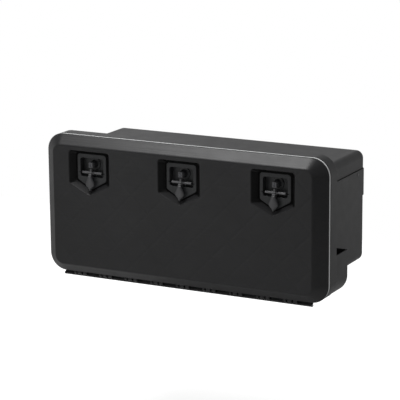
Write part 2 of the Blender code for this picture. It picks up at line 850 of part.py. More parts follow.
def door_outline(side_inset, top_inset, bottom_inset, corner):
    """An outline of the door, drawn in by its own amount at each side."""
    return box_outline(HALF_WIDTH - side_inset, bottom_inset,
                       FRONT_HEIGHT - top_inset, corner)


def door_step(share, depth):
    """An outline part of the way from the rim to the face."""
    return (
        door_outline(
            RIM_SIDE_INSET + (FACE_SIDE_INSET - RIM_SIDE_INSET) * share,
            RIM_TOP_INSET + (FACE_TOP_INSET - RIM_TOP_INSET) * share,
            RIM_BOTTOM_INSET + (FACE_BOTTOM_INSET - RIM_BOTTOM_INSET) * share,
            FRONT_CORNER + (FACE_CORNER - FRONT_CORNER) * share,
        ),
        depth,
    )


def rim_round():
    """The outline halfway round the soft edge between rim and flank."""
    part = RIM_ROUND_INSET_SHARE
    wall_end = DOOR_BACK - RIM_WALL
    return (
        door_outline(RIM_SIDE_INSET * part, RIM_TOP_INSET * part, RIM_BOTTOM_INSET * part,
                     FRONT_CORNER),
        wall_end - (RIM_DEPTH + wall_end) * RIM_ROUND_DEPTH_SHARE,
    )


def make_door_skin():
    """Face, sloping flank and rim of the door as one walled skin."""
    flank_depth = DOOR_DEPTH - RIM_DEPTH
    edge_share = FACE_EDGE / FACE_TOP_INSET
    edge_drop = flank_depth * edge_share
    outlines = [
        door_step(1 + edge_share / 2, -DOOR_DEPTH),
        door_step(1 - edge_share / 4, -DOOR_DEPTH + edge_drop / 4),
        door_step(1 - edge_share, -DOOR_DEPTH + edge_drop),
        door_step(0, -RIM_DEPTH),
        rim_round(),
        (front_outline(0), DOOR_BACK - RIM_WALL),
        (front_outline(0), DOOR_BACK),
    ]
    skin = object_from_bmesh("door_shell", loft(outlines, cap_back=False))
    return solidify(skin, DOOR_WALL)


def make_diamond_ribs():
    """Lattice of crossing ribs behind the face, clipped inside the flank."""
    shape = bmesh.new()
    cell = RIB_PITCH * math.sqrt(2)
    cells = 2 * math.ceil((HALF_WIDTH + FRONT_HEIGHT / 2 - FACE_SIDE_INSET) / cell)
    reach = RIB_PITCH * cells / 2
    bmesh.ops.create_grid(shape, x_segments=cells, y_segments=cells, size=reach)
    turn = Matrix.Rotation(math.radians(45), 3, "Z")
    bmesh.ops.rotate(shape, matrix=turn, verts=shape.verts)
    bmesh.ops.rotate(shape, matrix=Matrix.Rotation(math.pi / 2, 3, "X"), verts=shape.verts)
    depth = -DOOR_DEPTH + DOOR_WALL - FUSE_DEPTH / 2
    bmesh.ops.translate(shape, vec=(0, depth, FRONT_HEIGHT / 2), verts=shape.verts)
    bmesh.ops.inset_individual(shape, faces=shape.faces, thickness=RIB_THICKNESS / 2)
    cells = [face for face in shape.faces if is_cell(face)]
    bmesh.ops.delete(shape, geom=cells, context="FACES_ONLY")
    clip_ribs(shape)
    raised = bmesh.ops.extrude_face_region(shape, geom=shape.faces[:])
    verts = [item for item in raised["geom"] if isinstance(item, bmesh.types.BMVert)]
    bmesh.ops.translate(shape, vec=(0, RIB_HEIGHT + FUSE_DEPTH / 2, 0), verts=verts)
    return shape


def is_cell(face):
    """Whether a face of the lattice is the open middle of a diamond."""
    return face.calc_area() > (RIB_PITCH - 2 * RIB_THICKNESS) ** 2


def clip_ribs(shape):
    """Cut the lattice off a little inside the edge of the face."""
    side = HALF_WIDTH - FACE_SIDE_INSET - RIB_MARGIN
    low = FACE_BOTTOM_INSET + RIB_MARGIN
    high = FRONT_HEIGHT - FACE_TOP_INSET - RIB_MARGIN
    planes = (
        (Vector((side, 0, 0)), Vector((1, 0, 0))),
        (Vector((-side, 0, 0)), Vector((-1, 0, 0))),
        (Vector((0, 0, low)), Vector((0, 0, -1))),
        (Vector((0, 0, high)), Vector((0, 0, 1))),
    )
    for place, normal in planes:
        geometry = shape.verts[:] + shape.edges[:] + shape.faces[:]
        bmesh.ops.bisect_plane(shape, geom=geometry, dist=TOUCH_GAP / 3, plane_co=place,
                               plane_no=normal, clear_outer=True)


def pocket_outline(share, grow=0):
    """Shield of the pocket, part of the way from the face to the lock plate."""
    gap = PLATE_GAP
    half = POCKET_HALF_WIDTH + (PLATE_HALF_WIDTH + gap - POCKET_HALF_WIDTH) * share
    top = POCKET_TOP + (PLATE_TOP + gap - POCKET_TOP) * share
    shoulder = POCKET_SHOULDER + (PLATE_SHOULDER - gap - POCKET_SHOULDER) * share
    tip = POCKET_TIP + (PLATE_TIP - gap - POCKET_TIP) * share
    corner = POCKET_CORNER + grow
    point = PLATE_POINT_RADIUS + grow
    return shield_outline(half + grow, top + grow, shoulder - grow / 2, tip - grow,
                          corner, point)


def pocket_depth(share):
    """Depth behind the pivot of one share of the pocket's wall."""
    return FACE + (PLATE_BACK + TOUCH_GAP - FACE) * share


def make_pocket_wall(place):
    """Solid block that becomes the walls and floor of one pocket."""
    buried = FUSE_DEPTH / (PLATE_BACK - FACE)
    outlines = (
        (pocket_outline(buried, DOOR_WALL), pocket_depth(buried)),
        (pocket_outline(1, DOOR_WALL), pocket_depth(1)),
        (pocket_outline(1, DOOR_WALL), pocket_depth(1) + DOOR_WALL),
    )
    return moved(loft(outlines), place)


def make_pocket_void(place):
    """Cutter for the space in front of one lock plate."""
    outlines = (
        (pocket_outline(0), FACE - CUT_OVERRUN),
        (pocket_outline(0), FACE),
        (pocket_outline(1), pocket_depth(1)),
    )
    return moved(loft(outlines), place)


def make_cup_opening(place):
    """Cutter for the hole in a pocket's floor that the lock's cup goes through."""
    grow = CUP_WALL + CUP_CLEARANCE
    outline = box_outline(WINDOW_HALF_WIDTH + grow, WINDOW_BOTTOM - grow,
                          WINDOW_TOP + grow, WINDOW_CORNER, SMALL_STEPS)
    front = pocket_depth(1) - CUT_OVERRUN
    back = pocket_depth(1) + DOOR_WALL + CUT_OVERRUN
    return moved(prism_along_y(outline, front, back), place)


def boss_places():
    """Where the four screw bosses of a lock plate stand."""
    return [
        Vector((side, 0, height))
        for side in (-BOSS_SIDE, BOSS_SIDE)
        for height in (BOSS_BOTTOM, BOSS_TOP)
    ]


def make_boss_holes(place):
    """Cutters for the holes that the plate's bosses pass through."""
    front = pocket_depth(1) - CUT_OVERRUN
    back = pocket_depth(1) + DOOR_WALL + CUT_OVERRUN
    radius = BOSS_RADIUS + TOUCH_GAP
    return [
        moved(cylinder(radius, front, back, "Y", ROD_STEPS), place + boss)
        for boss in boss_places()
    ]


def lock_places():
    """The pivot of each lock in the front frame."""
    return {
        name: Vector((offset, PIVOT_BACK, PIVOT_HEIGHT))
        for name, offset in LOCK_OFFSETS.items()
    }


def make_door_shell(parent, material):
    """The moulded door with pockets, diamond ribs and hinge knuckles."""
    door = make_door_skin()
    joined = [make_diamond_ribs()]
    cuts = []
    for place in lock_places().values():
        joined.append(make_pocket_wall(place))
        cuts += [make_pocket_void(place), make_cup_opening(place)]
        cuts += make_boss_holes(place)
    for start, end in door_knuckle_spans():
        joined.append(knuckle_barrel(start, end))
        joined += [door_knuckle_web(*span) for span in door_web_spans(start, end)]
    combine(door, joined, "UNION")
    combine(door, cuts + [rod_hole()], "DIFFERENCE")
    door.data.transform(Matrix.Translation(-HINGE_AXIS))
    return finish(door, parent, material)


def plate_outline(inset):
    """Shield of the lock plate, drawn in by an inset."""
    return shield_outline(
        PLATE_HALF_WIDTH - inset, PLATE_TOP - inset, PLATE_SHOULDER + inset / 2,
        PLATE_TIP + inset, PLATE_CORNER - inset, PLATE_POINT_RADIUS,
    )


def cup_outline(grow):
    """Outline of the finger window, grown by a wall where asked."""
    return box_outline(WINDOW_HALF_WIDTH + grow, WINDOW_BOTTOM - grow,
                       WINDOW_TOP + grow, WINDOW_CORNER + grow, SMALL_STEPS)


def make_tower():
    """Turned tower on the cup's floor that holds the key body."""
    foot = CUP_FLOOR - TOWER_FOOT_HEIGHT
    shoulder = foot - TOWER_FOOT_HEIGHT / 4
    profile = ((0, CUP_FLOOR + FUSE_DEPTH), (TOWER_FOOT_RADIUS, CUP_FLOOR + FUSE_DEPTH),
               (TOWER_FOOT_RADIUS, foot), (TOWER_RADIUS, shoulder),
               (TOWER_TOP_RADIUS, TOWER_FRONT), (0, TOWER_FRONT))
    return moved(turned_solid(profile), KEY_AXIS)


def make_arm_slot():
    """Cutter for the slot in the cup that the lever's arm moves in."""
    side = ARM_WIDTH / 2 + FUSE_DEPTH
    drop = math.tan(LEVER_SWING)
    low = -(CUP_BACK * drop + ARM_HEIGHT + FUSE_DEPTH / 2)
    high = ARM_HEIGHT / 2 + CUP_WALL
    front = (-WINDOW_BOTTOM - ARM_HEIGHT) / drop
    return box((-side, front, low), (side, CUP_BACK + CUT_OVERRUN, high))


def make_lock_housing(name, parent, material):
    """Lock plate, cup, key tower and screw bosses in one moulding."""
    plate = loft((
        (plate_outline(PLATE_EDGE), PLATE_FRONT),
        (plate_outline(0), PLATE_FRONT + PLATE_EDGE),
        (plate_outline(0), PLATE_BACK),
    ))
    housing = object_from_bmesh(name, plate)
    cup = prism_along_y(cup_outline(CUP_WALL), PLATE_BACK - FUSE_DEPTH / 2, CUP_BACK)
    bosses = [
        moved(cylinder(BOSS_RADIUS, PLATE_BACK - FUSE_DEPTH / 2,
                       PLATE_BACK + BOSS_HEIGHT, "Y", ROD_STEPS), boss)
        for boss in boss_places()
    ]
    combine(housing, [cup] + bosses, "UNION")
    hollow = prism_along_y(cup_outline(0), PLATE_FRONT - CUT_OVERRUN, CUP_FLOOR)
    combine(housing, [hollow], "DIFFERENCE")
    combine(housing, [make_tower()], "UNION")
    key_bore = cylinder(KEY_BODY_RADIUS + TOUCH_GAP, TOWER_FRONT - CUT_OVERRUN,
                        CUP_BACK + CUT_OVERRUN, "Y")
    reach = WINDOW_HALF_WIDTH + CUP_WALL + CUT_OVERRUN
    pin_bore = cylinder(PIN_RADIUS + TOUCH_GAP, -reach, reach, "X", ROD_STEPS)
    cuts = [moved(key_bore, KEY_AXIS), pin_bore, make_arm_slot()]
    combine(housing, cuts, "DIFFERENCE")
    return finish(housing, parent, material)


def make_key_body(name, parent, material):
    """Square-faced body of the key cylinder, seated in the tower."""
    front = TOWER_FRONT - TOUCH_GAP - KEY_BLOCK_DEPTH
    back = TOWER_FRONT - TOUCH_GAP
    half_width = KEY_BLOCK_WIDTH / 2
    half_height = KEY_BLOCK_HEIGHT / 2
    edge = KEY_BLOCK_EDGE
    outline = box_outline(half_width, -half_height, half_height, 2 * edge, SMALL_STEPS)
    face = box_outline(half_width - edge, edge - half_height, half_height - edge,
                       edge, SMALL_STEPS)
    block = loft(((face, front), (outline, front + edge), (outline, back)))
    body = object_from_bmesh(name, block)
    shank = cylinder(KEY_BODY_RADIUS, back - FUSE_DEPTH, CUP_FLOOR, "Y")
    combine(body, [shank], "UNION")
    bore = cylinder(KEY_PLUG_RADIUS + TOUCH_GAP, front - CUT_OVERRUN,
                    CUP_FLOOR + CUT_OVERRUN, "Y")
    combine(body, [bore], "DIFFERENCE")
    body.location = KEY_AXIS
    return finish(body, parent, material)


def make_key_plug(name, parent, material):
    """Plug that the key turns, with its key slot."""
    front = TOWER_FRONT - TOUCH_GAP - KEY_BLOCK_DEPTH
    profile = ((0, CUP_FLOOR), (KEY_PLUG_RADIUS, CUP_FLOOR),
               (KEY_PLUG_RADIUS, front + KEY_BLOCK_EDGE / 2),
               (KEY_PLUG_RADIUS - KEY_BLOCK_EDGE / 2, front), (0, front))
    plug = object_from_bmesh(name, turned_solid(profile))
    side = KEY_SLOT_WIDTH / 2
    height = KEY_SLOT_HEIGHT / 2
    slot = box((-side, front - CUT_OVERRUN, -height), (side, front + KEY_SLOT_DEPTH, height))
    combine(plug, [slot], "DIFFERENCE")
    plug.location = KEY_AXIS
    return finish(plug, parent, material)


def leaf_outline(inset):
    """Leaf of the lever: narrow above, full in the middle, pointed below."""
    count = len(LEAF_WIDTH_SHARES)
    length = LEAF_LENGTH - 2 * inset
    right = []
    for index, width_share in enumerate(LEAF_WIDTH_SHARES):
        height = LEAF_TOP - inset - length * index / (count - 1)
        half = max(LEAF_HALF_WIDTH * width_share - inset, inset)
        right.append(Vector((half, height)))
    left = [Vector((-point.x, point.y)) for point in right]
    return list(reversed(right)) + left


def make_lever(name, parent, material):
    """Pull lever with its bar, leaf, tab and drive arm, about its pivot."""
    lever = object_from_bmesh(name, cylinder(BAR_RADIUS, -BAR_HALF_LENGTH,
                                             BAR_HALF_LENGTH, "X", KNUCKLE_STEPS))
    leaf_back = LEAF_FRONT + LEAF_THICKNESS
    leaf = loft((
        (leaf_outline(LEAF_EDGE), LEAF_FRONT),
        (leaf_outline(0), LEAF_FRONT + LEAF_EDGE),
        (leaf_outline(0), leaf_back),
    ))
    root = box((-ROOT_HALF_WIDTH, LEAF_FRONT + LEAF_EDGE + TOUCH_GAP, -ROOT_BELOW),
               (ROOT_HALF_WIDTH, -TOUCH_GAP, ROOT_ABOVE))
    tab = box((-TAB_WIDTH / 2, TAB_FRONT, -TOUCH_GAP), (TAB_WIDTH / 2, TAB_BACK, TAB_TOP))
    neck = box((-TAB_WIDTH / 2, TAB_FRONT, -BAR_RADIUS / 2),
               (TAB_WIDTH / 2, TOUCH_GAP, BAR_RADIUS / 2))
    arm = box((-ARM_WIDTH / 2, 0, -ARM_HEIGHT / 2),
              (ARM_WIDTH / 2, ARM_REACH, ARM_HEIGHT / 2))
    combine(lever, [leaf, root, tab, neck, arm], "UNION")
    reach = BAR_HALF_LENGTH + CUT_OVERRUN
    bore = cylinder(PIN_RADIUS + TOUCH_GAP, -reach, reach, "X", ROD_STEPS)
    combine(lever, [bore], "DIFFERENCE")
    return finish(lever, parent, material)


def make_pivot_pin(name, parent, material):
    """Steel pin that carries the lever between the cup's side walls."""
    reach = WINDOW_HALF_WIDTH + CUP_WALL + PIN_OVERHANG
    shape = cylinder(PIN_RADIUS, -reach, reach, "X", ROD_STEPS)
    return finish(object_from_bmesh(name, shape), parent, material)


def make_strap(low):
    """Bridge of the guide plate that keeps the bolt against it."""
    side = BOLT_HALF_WIDTH + TOUCH_GAP
    outer = side + GUIDE_THICKNESS
    start = GUIDE_BACK - GUIDE_THICKNESS / 2
    inner_back = BOLT_BACK + TOUCH_GAP
    outer_back = inner_back + GUIDE_THICKNESS
    plan = (
        (-outer, start), (-side, start), (-side, inner_back), (side, inner_back),
        (side, start), (outer, start), (outer, outer_back), (-outer, outer_back),
    )
    return prism_along_z(plan, low, low + STRAP_HEIGHT)


def make_latch_guide(name, parent, material):
    """Pressed steel plate behind the cup: slot, two straps and spring seat."""
    plate = box((-GUIDE_HALF_WIDTH, GUIDE_FRONT, GUIDE_BOTTOM),
                (GUIDE_HALF_WIDTH, GUIDE_BACK, GUIDE_TOP))
    guide = object_from_bmesh(name, plate)
    half = SPRING_RADIUS + GUIDE_THICKNESS
    seat = box((-half, GUIDE_BACK - GUIDE_THICKNESS / 2, GUIDE_BOTTOM),
               (half, GUIDE_BACK + SEAT_REACH, GUIDE_BOTTOM + GUIDE_THICKNESS))
    combine(guide, [make_strap(STRAP_LOW), make_strap(STRAP_HIGH), seat], "UNION")
    drop = math.tan(LEVER_SWING)
    side = ARM_WIDTH / 2 + GUIDE_SLOT_SIDE
    low = -(GUIDE_BACK * drop + ARM_HEIGHT + FUSE_DEPTH)
    high = ARM_HEIGHT + FUSE_DEPTH
    slot = box((-side, GUIDE_FRONT - CUT_OVERRUN, low), (side, GUIDE_BACK + CUT_OVERRUN, high))
    combine(guide, [slot], "DIFFERENCE")
    return finish(guide, parent, material)


def make_latch_bolt(name, parent, material):
    """Steel bolt: foot on the spring, window for the arm, tongue at the top."""
    foot = BOLT_FRONT + SEAT_REACH - TOUCH_GAP
    profile = (
        (BOLT_FRONT, BOLT_BOTTOM),
        (foot, BOLT_BOTTOM),
        (foot, BOLT_BOTTOM + BOLT_THICKNESS),
        (BOLT_BACK, BOLT_BOTTOM + BOLT_THICKNESS),
        (BOLT_BACK, BOLT_JOG_LOW - FUSE_DEPTH / 2),
        (TONGUE_BACK, BOLT_JOG_HIGH - FUSE_DEPTH / 2),
        (TONGUE_BACK, BOLT_TOP),
        (TONGUE_FRONT + BOLT_LEAD / 2, BOLT_TOP),
        (TONGUE_FRONT, BOLT_TOP - BOLT_LEAD),
        (TONGUE_FRONT, BOLT_JOG_HIGH),
        (BOLT_FRONT, BOLT_JOG_LOW),
    )
    shape = prism_along_x(profile, -BOLT_HALF_WIDTH, BOLT_HALF_WIDTH)
    bolt = object_from_bmesh(name, shape)
    side = ARM_WIDTH / 2 + BOLT_SLOT_SIDE
    high = ARM_HEIGHT / 2 + BOLT_SLOT_SPARE + BOLT_SLOT_SIDE
    window = box((-side, BOLT_FRONT - CUT_OVERRUN, -high), (side, BOLT_BACK + CUT_OVERRUN, high))
    combine(bolt, [window], "DIFFERENCE")
    return finish(bolt, parent, material)


def spring_points():
    """Helix from the seat up to the foot of the bolt."""
    back = GUIDE_BACK + SEAT_REACH - SPRING_RADIUS - SPRING_WIRE
    low = GUIDE_BOTTOM + GUIDE_THICKNESS + SPRING_WIRE + TOUCH_GAP
    high = BOLT_BOTTOM - SPRING_WIRE - TOUCH_GAP
    count = SPRING_TURNS * SPRING_TURN_POINTS
    found = []
    for index in range(count + 1):
        angle = math.tau * index / SPRING_TURN_POINTS
        height = low + (high - low) * index / count
        across = SPRING_RADIUS * math.cos(angle)
        found.append((across, back + SPRING_RADIUS * math.sin(angle), height))
    return found


def report_spring_gap():
    """Print the least free gap between two turns of the spring's wire."""
    points = [Vector(place) for place in spring_points()]
    nearest = min(
        (points[first] - points[second]).length
        for first in range(len(points))
        for second in range(first + SPRING_TURN_POINTS // 2, len(points))
    )
    gap = (nearest - 2 * SPRING_WIRE) * MILLIMETRES
    print(f"least gap between the turns of a return spring: {gap:.2f} mm")


def make_return_spring(name, parent, material):
    """Compression spring that pushes the bolt up behind the keeper."""
    curve = bpy.data.curves.new(name, "CURVE")
    curve.dimensions = "3D"
    spline = curve.splines.new("POLY")
    points = spring_points()
    spline.points.add(len(points) - 1)
    for point, place in zip(spline.points, points):
        point.co = (*place, 1)
    curve.bevel_depth = SPRING_WIRE
    curve.bevel_resolution = 1
    curve.use_fill_caps = True
    spring = add_object(name, curve)
    spring.parent = parent
    curve.materials.append(material)
    return spring


def make_lock(name, place, parent, materials):
    """All pieces of one lock, hung from an empty at its pivot."""
    pivot = add_empty(f"{name}_lock_pivot", place - HINGE_AXIS, parent)
    steel = materials["zinc_steel"]
    plastic = materials["lock_plastic"]
    make_lock_housing(f"{name}_lock_housing", pivot, plastic)
    make_key_body(f"{name}_key_body", pivot, plastic)
    make_key_plug(f"{name}_key_plug", pivot, steel)
    make_lever(f"{name}_lever", pivot, plastic)
    make_pivot_pin(f"{name}_pivot_pin", pivot, steel)
    make_latch_guide(f"{name}_latch_guide", pivot, steel)
    make_latch_bolt(f"{name}_latch_bolt", pivot, steel)
    make_return_spring(f"{name}_return_spring", pivot, materials["spring_steel"])


def clear_scene():
    """Start from an empty scene."""
    for found in list(bpy.data.objects):
        bpy.data.objects.remove(found)


def main():
    """Build the whole tool box."""
    clear_scene()
    materials = make_materials()
    black = materials["black_plastic"]
    steel = materials["zinc_steel"]
    front = add_empty("front_frame", FRONT_FRAME)
    door_axis = add_empty("door_axis", HINGE_AXIS, front)
    make_body_tub(front, black)
    make_mouth_seal(front, materials["grey_seal"])
    make_hinge_rod(front, steel)
    for side in (-1, 1):
        make_rod_cap(side, front, black)
        make_side_plug(side, front, black)
    make_door_shell(door_axis, black)
    for name, place in lock_places().items():
        make_keeper(f"{name}_keeper", place.x, front, steel)
        make_lock(name, place, door_axis, materials)
    report_spring_gap()


main()
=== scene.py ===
# %% [markdown]
# # A lockable tool box of black plastic
# This box hangs at the side of a truck. A deep tub with a wide collar is shut
# by a door that drops down on a long hinge, and three pull latches with keys
# hold the door. Nearly everything is moulded plastic, so the eye reads the box
# by its round edges, its thin walls and the soft sheen of its black surface.
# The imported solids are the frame: each piece below takes its place from them.

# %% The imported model
import json
import math

import bmesh
import bpy
from mathutils import Matrix, Vector

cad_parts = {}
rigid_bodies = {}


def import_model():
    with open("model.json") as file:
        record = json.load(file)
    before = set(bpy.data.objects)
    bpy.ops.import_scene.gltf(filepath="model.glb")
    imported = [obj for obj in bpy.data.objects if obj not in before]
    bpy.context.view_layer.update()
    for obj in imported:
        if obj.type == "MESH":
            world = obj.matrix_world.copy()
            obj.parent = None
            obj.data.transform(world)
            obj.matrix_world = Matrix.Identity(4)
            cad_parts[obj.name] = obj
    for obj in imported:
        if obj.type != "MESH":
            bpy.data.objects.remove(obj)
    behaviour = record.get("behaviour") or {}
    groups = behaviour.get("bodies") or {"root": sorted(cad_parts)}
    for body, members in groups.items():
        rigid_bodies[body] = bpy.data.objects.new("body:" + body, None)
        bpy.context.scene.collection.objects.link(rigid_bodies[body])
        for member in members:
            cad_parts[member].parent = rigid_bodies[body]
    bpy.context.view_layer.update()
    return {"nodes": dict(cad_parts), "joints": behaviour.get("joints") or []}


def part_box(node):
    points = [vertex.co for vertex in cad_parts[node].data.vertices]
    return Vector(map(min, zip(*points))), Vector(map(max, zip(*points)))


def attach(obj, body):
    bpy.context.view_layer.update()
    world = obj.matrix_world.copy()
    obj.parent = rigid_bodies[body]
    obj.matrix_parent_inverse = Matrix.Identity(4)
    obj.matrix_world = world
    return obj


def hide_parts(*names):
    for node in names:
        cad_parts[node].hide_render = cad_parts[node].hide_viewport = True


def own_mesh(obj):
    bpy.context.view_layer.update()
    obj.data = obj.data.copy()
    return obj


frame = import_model()
print("solids in the frame:", len(frame["nodes"]))

# %% [markdown]
# ## Sizes
# The outer sizes are read from the frame, so the visual pieces follow it.
# Walls, edges and small steps are named in millimetres, as on a drawing.
# The front frame has x from the middle, y backwards from the seam between
# door and collar, and z up from the lower edge of the door.

# %% Sizes of the box
MM = 0.001
SEAL_INSET = 0.8 * MM
seal_low, seal_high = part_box("mouth_seal")
door_low, door_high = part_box("door_shell")
tub_low, tub_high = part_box("body_tub")
ORIGIN = Vector((0, (seal_low.y + seal_high.y) / 2, seal_low.z - SEAL_INSET))
HALF_WIDTH = door_high.x
FRONT_HEIGHT = seal_high.z + SEAL_INSET - ORIGIN.z
FRONT_CORNER = 58 * MM
SEAM_HALF = 5 * MM
WALL = 4 * MM
GAP = 0.3 * MM
OVERRUN = 3 * MM
MOULD_EDGE = 0.5 * MM
FINE_EDGE = 0.15 * MM
CORNER_STEPS = 16
joints = {joint["name"]: joint for joint in frame["joints"]}
lock_pivots = {name: Vector(joints[f"{name}_lever_pull"]["pos_m"])
               for name in ("left", "middle", "right")}


def mm(*values):
    """Millimetres in metres."""
    return [value * MM for value in values]


print("front", round(2 * HALF_WIDTH / MM), "by", round(FRONT_HEIGHT / MM), "mm")

# %% [markdown]
# ## Building blocks
# Moulded parts are outlines with round corners, stacked at different depths
# and joined by strips of faces. That is a loft. Boxes and Subdivision could
# give similar forms, but a loft puts each edge radius exactly where the mould
# has it and leaves large flat walls free of stray vertices.

# %% Outlines with round corners
def rounded_outline(corners, radii, steps):
    """A closed outline of (across, up) points, each corner with its own radius."""
    corners = [Vector(corner) for corner in corners]
    found = []
    for index, (corner, radius) in enumerate(zip(corners, radii)):
        back = (corners[index - 1] - corner).normalized()
        ahead = (corners[(index + 1) % len(corners)] - corner).normalized()
        half_angle = back.angle(ahead) / 2
        centre = corner + (back + ahead).normalized() * radius / math.sin(half_angle)
        reach = radius / math.tan(half_angle)
        start = corner + back * reach - centre
        turn = start.angle_signed(corner + ahead * reach - centre)
        found += [centre + Matrix.Rotation(-turn * step / steps, 2) @ start
                  for step in range(steps + 1)]
    return found


def box_outline(half_width, bottom, top, radius, steps=CORNER_STEPS):
    """A rectangle with round corners, counter-clockwise from below right."""
    corners = ((half_width, bottom), (half_width, top), (-half_width, top), (-half_width, bottom))
    return rounded_outline(corners, [radius] * 4, steps)


def front_outline(inset):
    """The outline that door, seal and collar share, drawn in by an inset."""
    return box_outline(HALF_WIDTH - inset, inset, FRONT_HEIGHT - inset, FRONT_CORNER - inset)


def circle(radius, centre=(0, 0), steps=24):
    """A round outline."""
    angles = [math.tau * step / steps for step in range(steps)]
    return [Vector(centre) + radius * Vector((math.cos(a), math.sin(a))) for a in angles]


def mirrored(outline):
    """The same outline on the left side."""
    return [Vector((-point.x, point.y)) for point in outline]


def quarter(steps):
    """Sine and cosine along a quarter turn."""
    angles = [math.pi / 2 * step / steps for step in range(steps + 1)]
    return [(math.sin(angle), math.cos(angle)) for angle in angles]


def round_edge(radius, steps=4):
    """(inset, setback) round an edge, from the front to the side."""
    return [(radius * (1 - sine), radius * (1 - cosine)) for sine, cosine in quarter(steps)]


def edge_sections(outline, start, radius):
    """Sections of a round front edge, whose outline is a function of its inset."""
    return [(outline(inset), start + setback) for inset, setback in round_edge(radius)]


print("points in the front outline:", len(front_outline(0)))

# %% Lofts, fills and solids
AXIS_ORDER = {"X": (2, 0, 1), "Y": (0, 2, 1), "Z": (0, 1, 2)}


def bridge(shape, first, second):
    """Faces between two rings that have as many points."""
    for index, vert in enumerate(first):
        shape.faces.new((first[index - 1], vert, second[index], second[index - 1]))


def skin(shape, sections):
    """A skin through (outline, depth) sections; its first and last rings."""
    rings = [[shape.verts.new((point.x, depth, point.y)) for point in outline]
             for outline, depth in sections]
    for first, second in zip(rings, rings[1:]):
        bridge(shape, first, second)
    return rings[0], rings[-1]


def fill(shape, loops):
    """A flat face between an outer loop and the loops of its holes."""
    edges = []
    for loop in loops:
        for pair in zip([loop[-1]] + loop, loop):
            edges.append(shape.edges.get(pair) or shape.edges.new(pair))
    bmesh.ops.triangle_fill(shape, use_beauty=True, use_dissolve=False, edges=edges)


def loft(sections, is_ring=False):
    """A closed solid through sections, or a ring whose last section meets its first."""
    shape = bmesh.new()
    first, last = skin(shape, sections)
    if is_ring:
        bridge(shape, last, first)
    else:
        shape.faces.new(first)
        shape.faces.new(last)
    return shape


def block(low, high):
    """A box between two corners."""
    shape = bmesh.new()
    bmesh.ops.create_cube(shape, size=1)
    bmesh.ops.scale(shape, vec=Vector(high) - Vector(low), verts=shape.verts)
    bmesh.ops.translate(shape, vec=(Vector(high) + Vector(low)) / 2, verts=shape.verts)
    return shape


def prism(outline, start, end, axis="Y"):
    """Extrude an outline along an axis; along X it is (back, up), along Z (across, back)."""
    shape = bmesh.new()
    near, far = [[shape.verts.new([(*point, along)[at] for at in AXIS_ORDER[axis]])
                  for point in outline] for along in (start, end)]
    bridge(shape, near, far)
    shape.faces.new(near)
    shape.faces.new(far)
    return shape


def turned(profile, steps=48):
    """Revolve a (radius, depth) profile that starts and ends on the Y axis."""
    shape = bmesh.new()
    verts = [shape.verts.new((radius, depth, 0)) for radius, depth in profile]
    edges = [shape.edges.new(pair) for pair in zip(verts, verts[1:])]
    bmesh.ops.spin(shape, geom=verts + edges, axis=(0, 1, 0), cent=(0, 0, 0),
                   angle=math.tau, steps=steps, use_merge=True)
    bmesh.ops.remove_doubles(shape, verts=shape.verts, dist=GAP / 30)
    return shape


def rotated(shape, degrees, axis):
    """Turn a whole bmesh about an axis."""
    turn = Matrix.Rotation(math.radians(degrees), 3, axis)
    bmesh.ops.rotate(shape, matrix=turn, verts=shape.verts)
    return shape


def new_object(name, data):
    """An object in the scene."""
    found = bpy.data.objects.new(name, data)
    bpy.context.scene.collection.objects.link(found)
    return found


def to_object(name, shape, outwards=True):
    """A bmesh as an object, whose faces are made to point outwards."""
    if outwards:
        bmesh.ops.recalc_face_normals(shape, faces=shape.faces)
    mesh = bpy.data.meshes.new(name)
    shape.to_mesh(mesh)
    shape.free()
    return new_object(name, mesh)


print("building blocks ready")

# %% [markdown]
# Booleans join and cut the few forms that no loft can give. Their result is
# kept as a plain mesh at once, so that no cutter stays behind in the scene.
# Every finished piece is smooth, with sharp edges kept by their angle, and
# Weighted Normal keeps the flat walls flat beside their round edges.

# %% Cutting, joining and finishing
SHARP = math.radians(34)


def keep_result(target):
    """Replace an object's mesh with what its modifiers make of it."""
    graph = bpy.context.evaluated_depsgraph_get()
    target.data = bpy.data.meshes.new_from_object(target.evaluated_get(graph))
    target.modifiers.clear()
    return target


def combine(target, shapes, operation):
    """Join bmeshes to an object, or cut them from it."""
    operands = bpy.data.collections.new("operands")
    bpy.context.scene.collection.children.link(operands)
    for shape in shapes:
        piece = to_object("operand", shape)
        bpy.context.scene.collection.objects.unlink(piece)
        operands.objects.link(piece)
    boolean = target.modifiers.new("combine", "BOOLEAN")
    boolean.operation = operation
    boolean.operand_type = "COLLECTION"
    boolean.collection = operands
    boolean.solver = "EXACT"
    keep_result(target)
    for piece in list(operands.objects):
        bpy.data.objects.remove(piece)
    bpy.data.collections.remove(operands)
    return target


def soften(target, width, segments=2):
    """Round the sharp edges of an object."""
    bevel = target.modifiers.new("edges", "BEVEL")
    bevel.width = width
    bevel.segments = segments
    bevel.limit_method = "ANGLE"
    bevel.angle_limit = SHARP
    bevel.miter_outer = "MITER_ARC"
    return keep_result(target)


def finish_piece(target, body, finish, offset=ORIGIN, replaced=()):
    """Put a piece in its place on its body, with its material."""
    material, slot = finish
    target.data.transform(Matrix.Translation(offset))
    target.data.materials.clear()
    target.data.materials.append(material)
    target.data.shade_smooth()
    target.data.set_sharp_from_angle(angle=SHARP)
    target.modifiers.new("flat walls", "WEIGHTED_NORMAL").keep_sharp = True
    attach(target, body)
    if replaced:
        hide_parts(*replaced)
    return target


print("finishing tools ready")
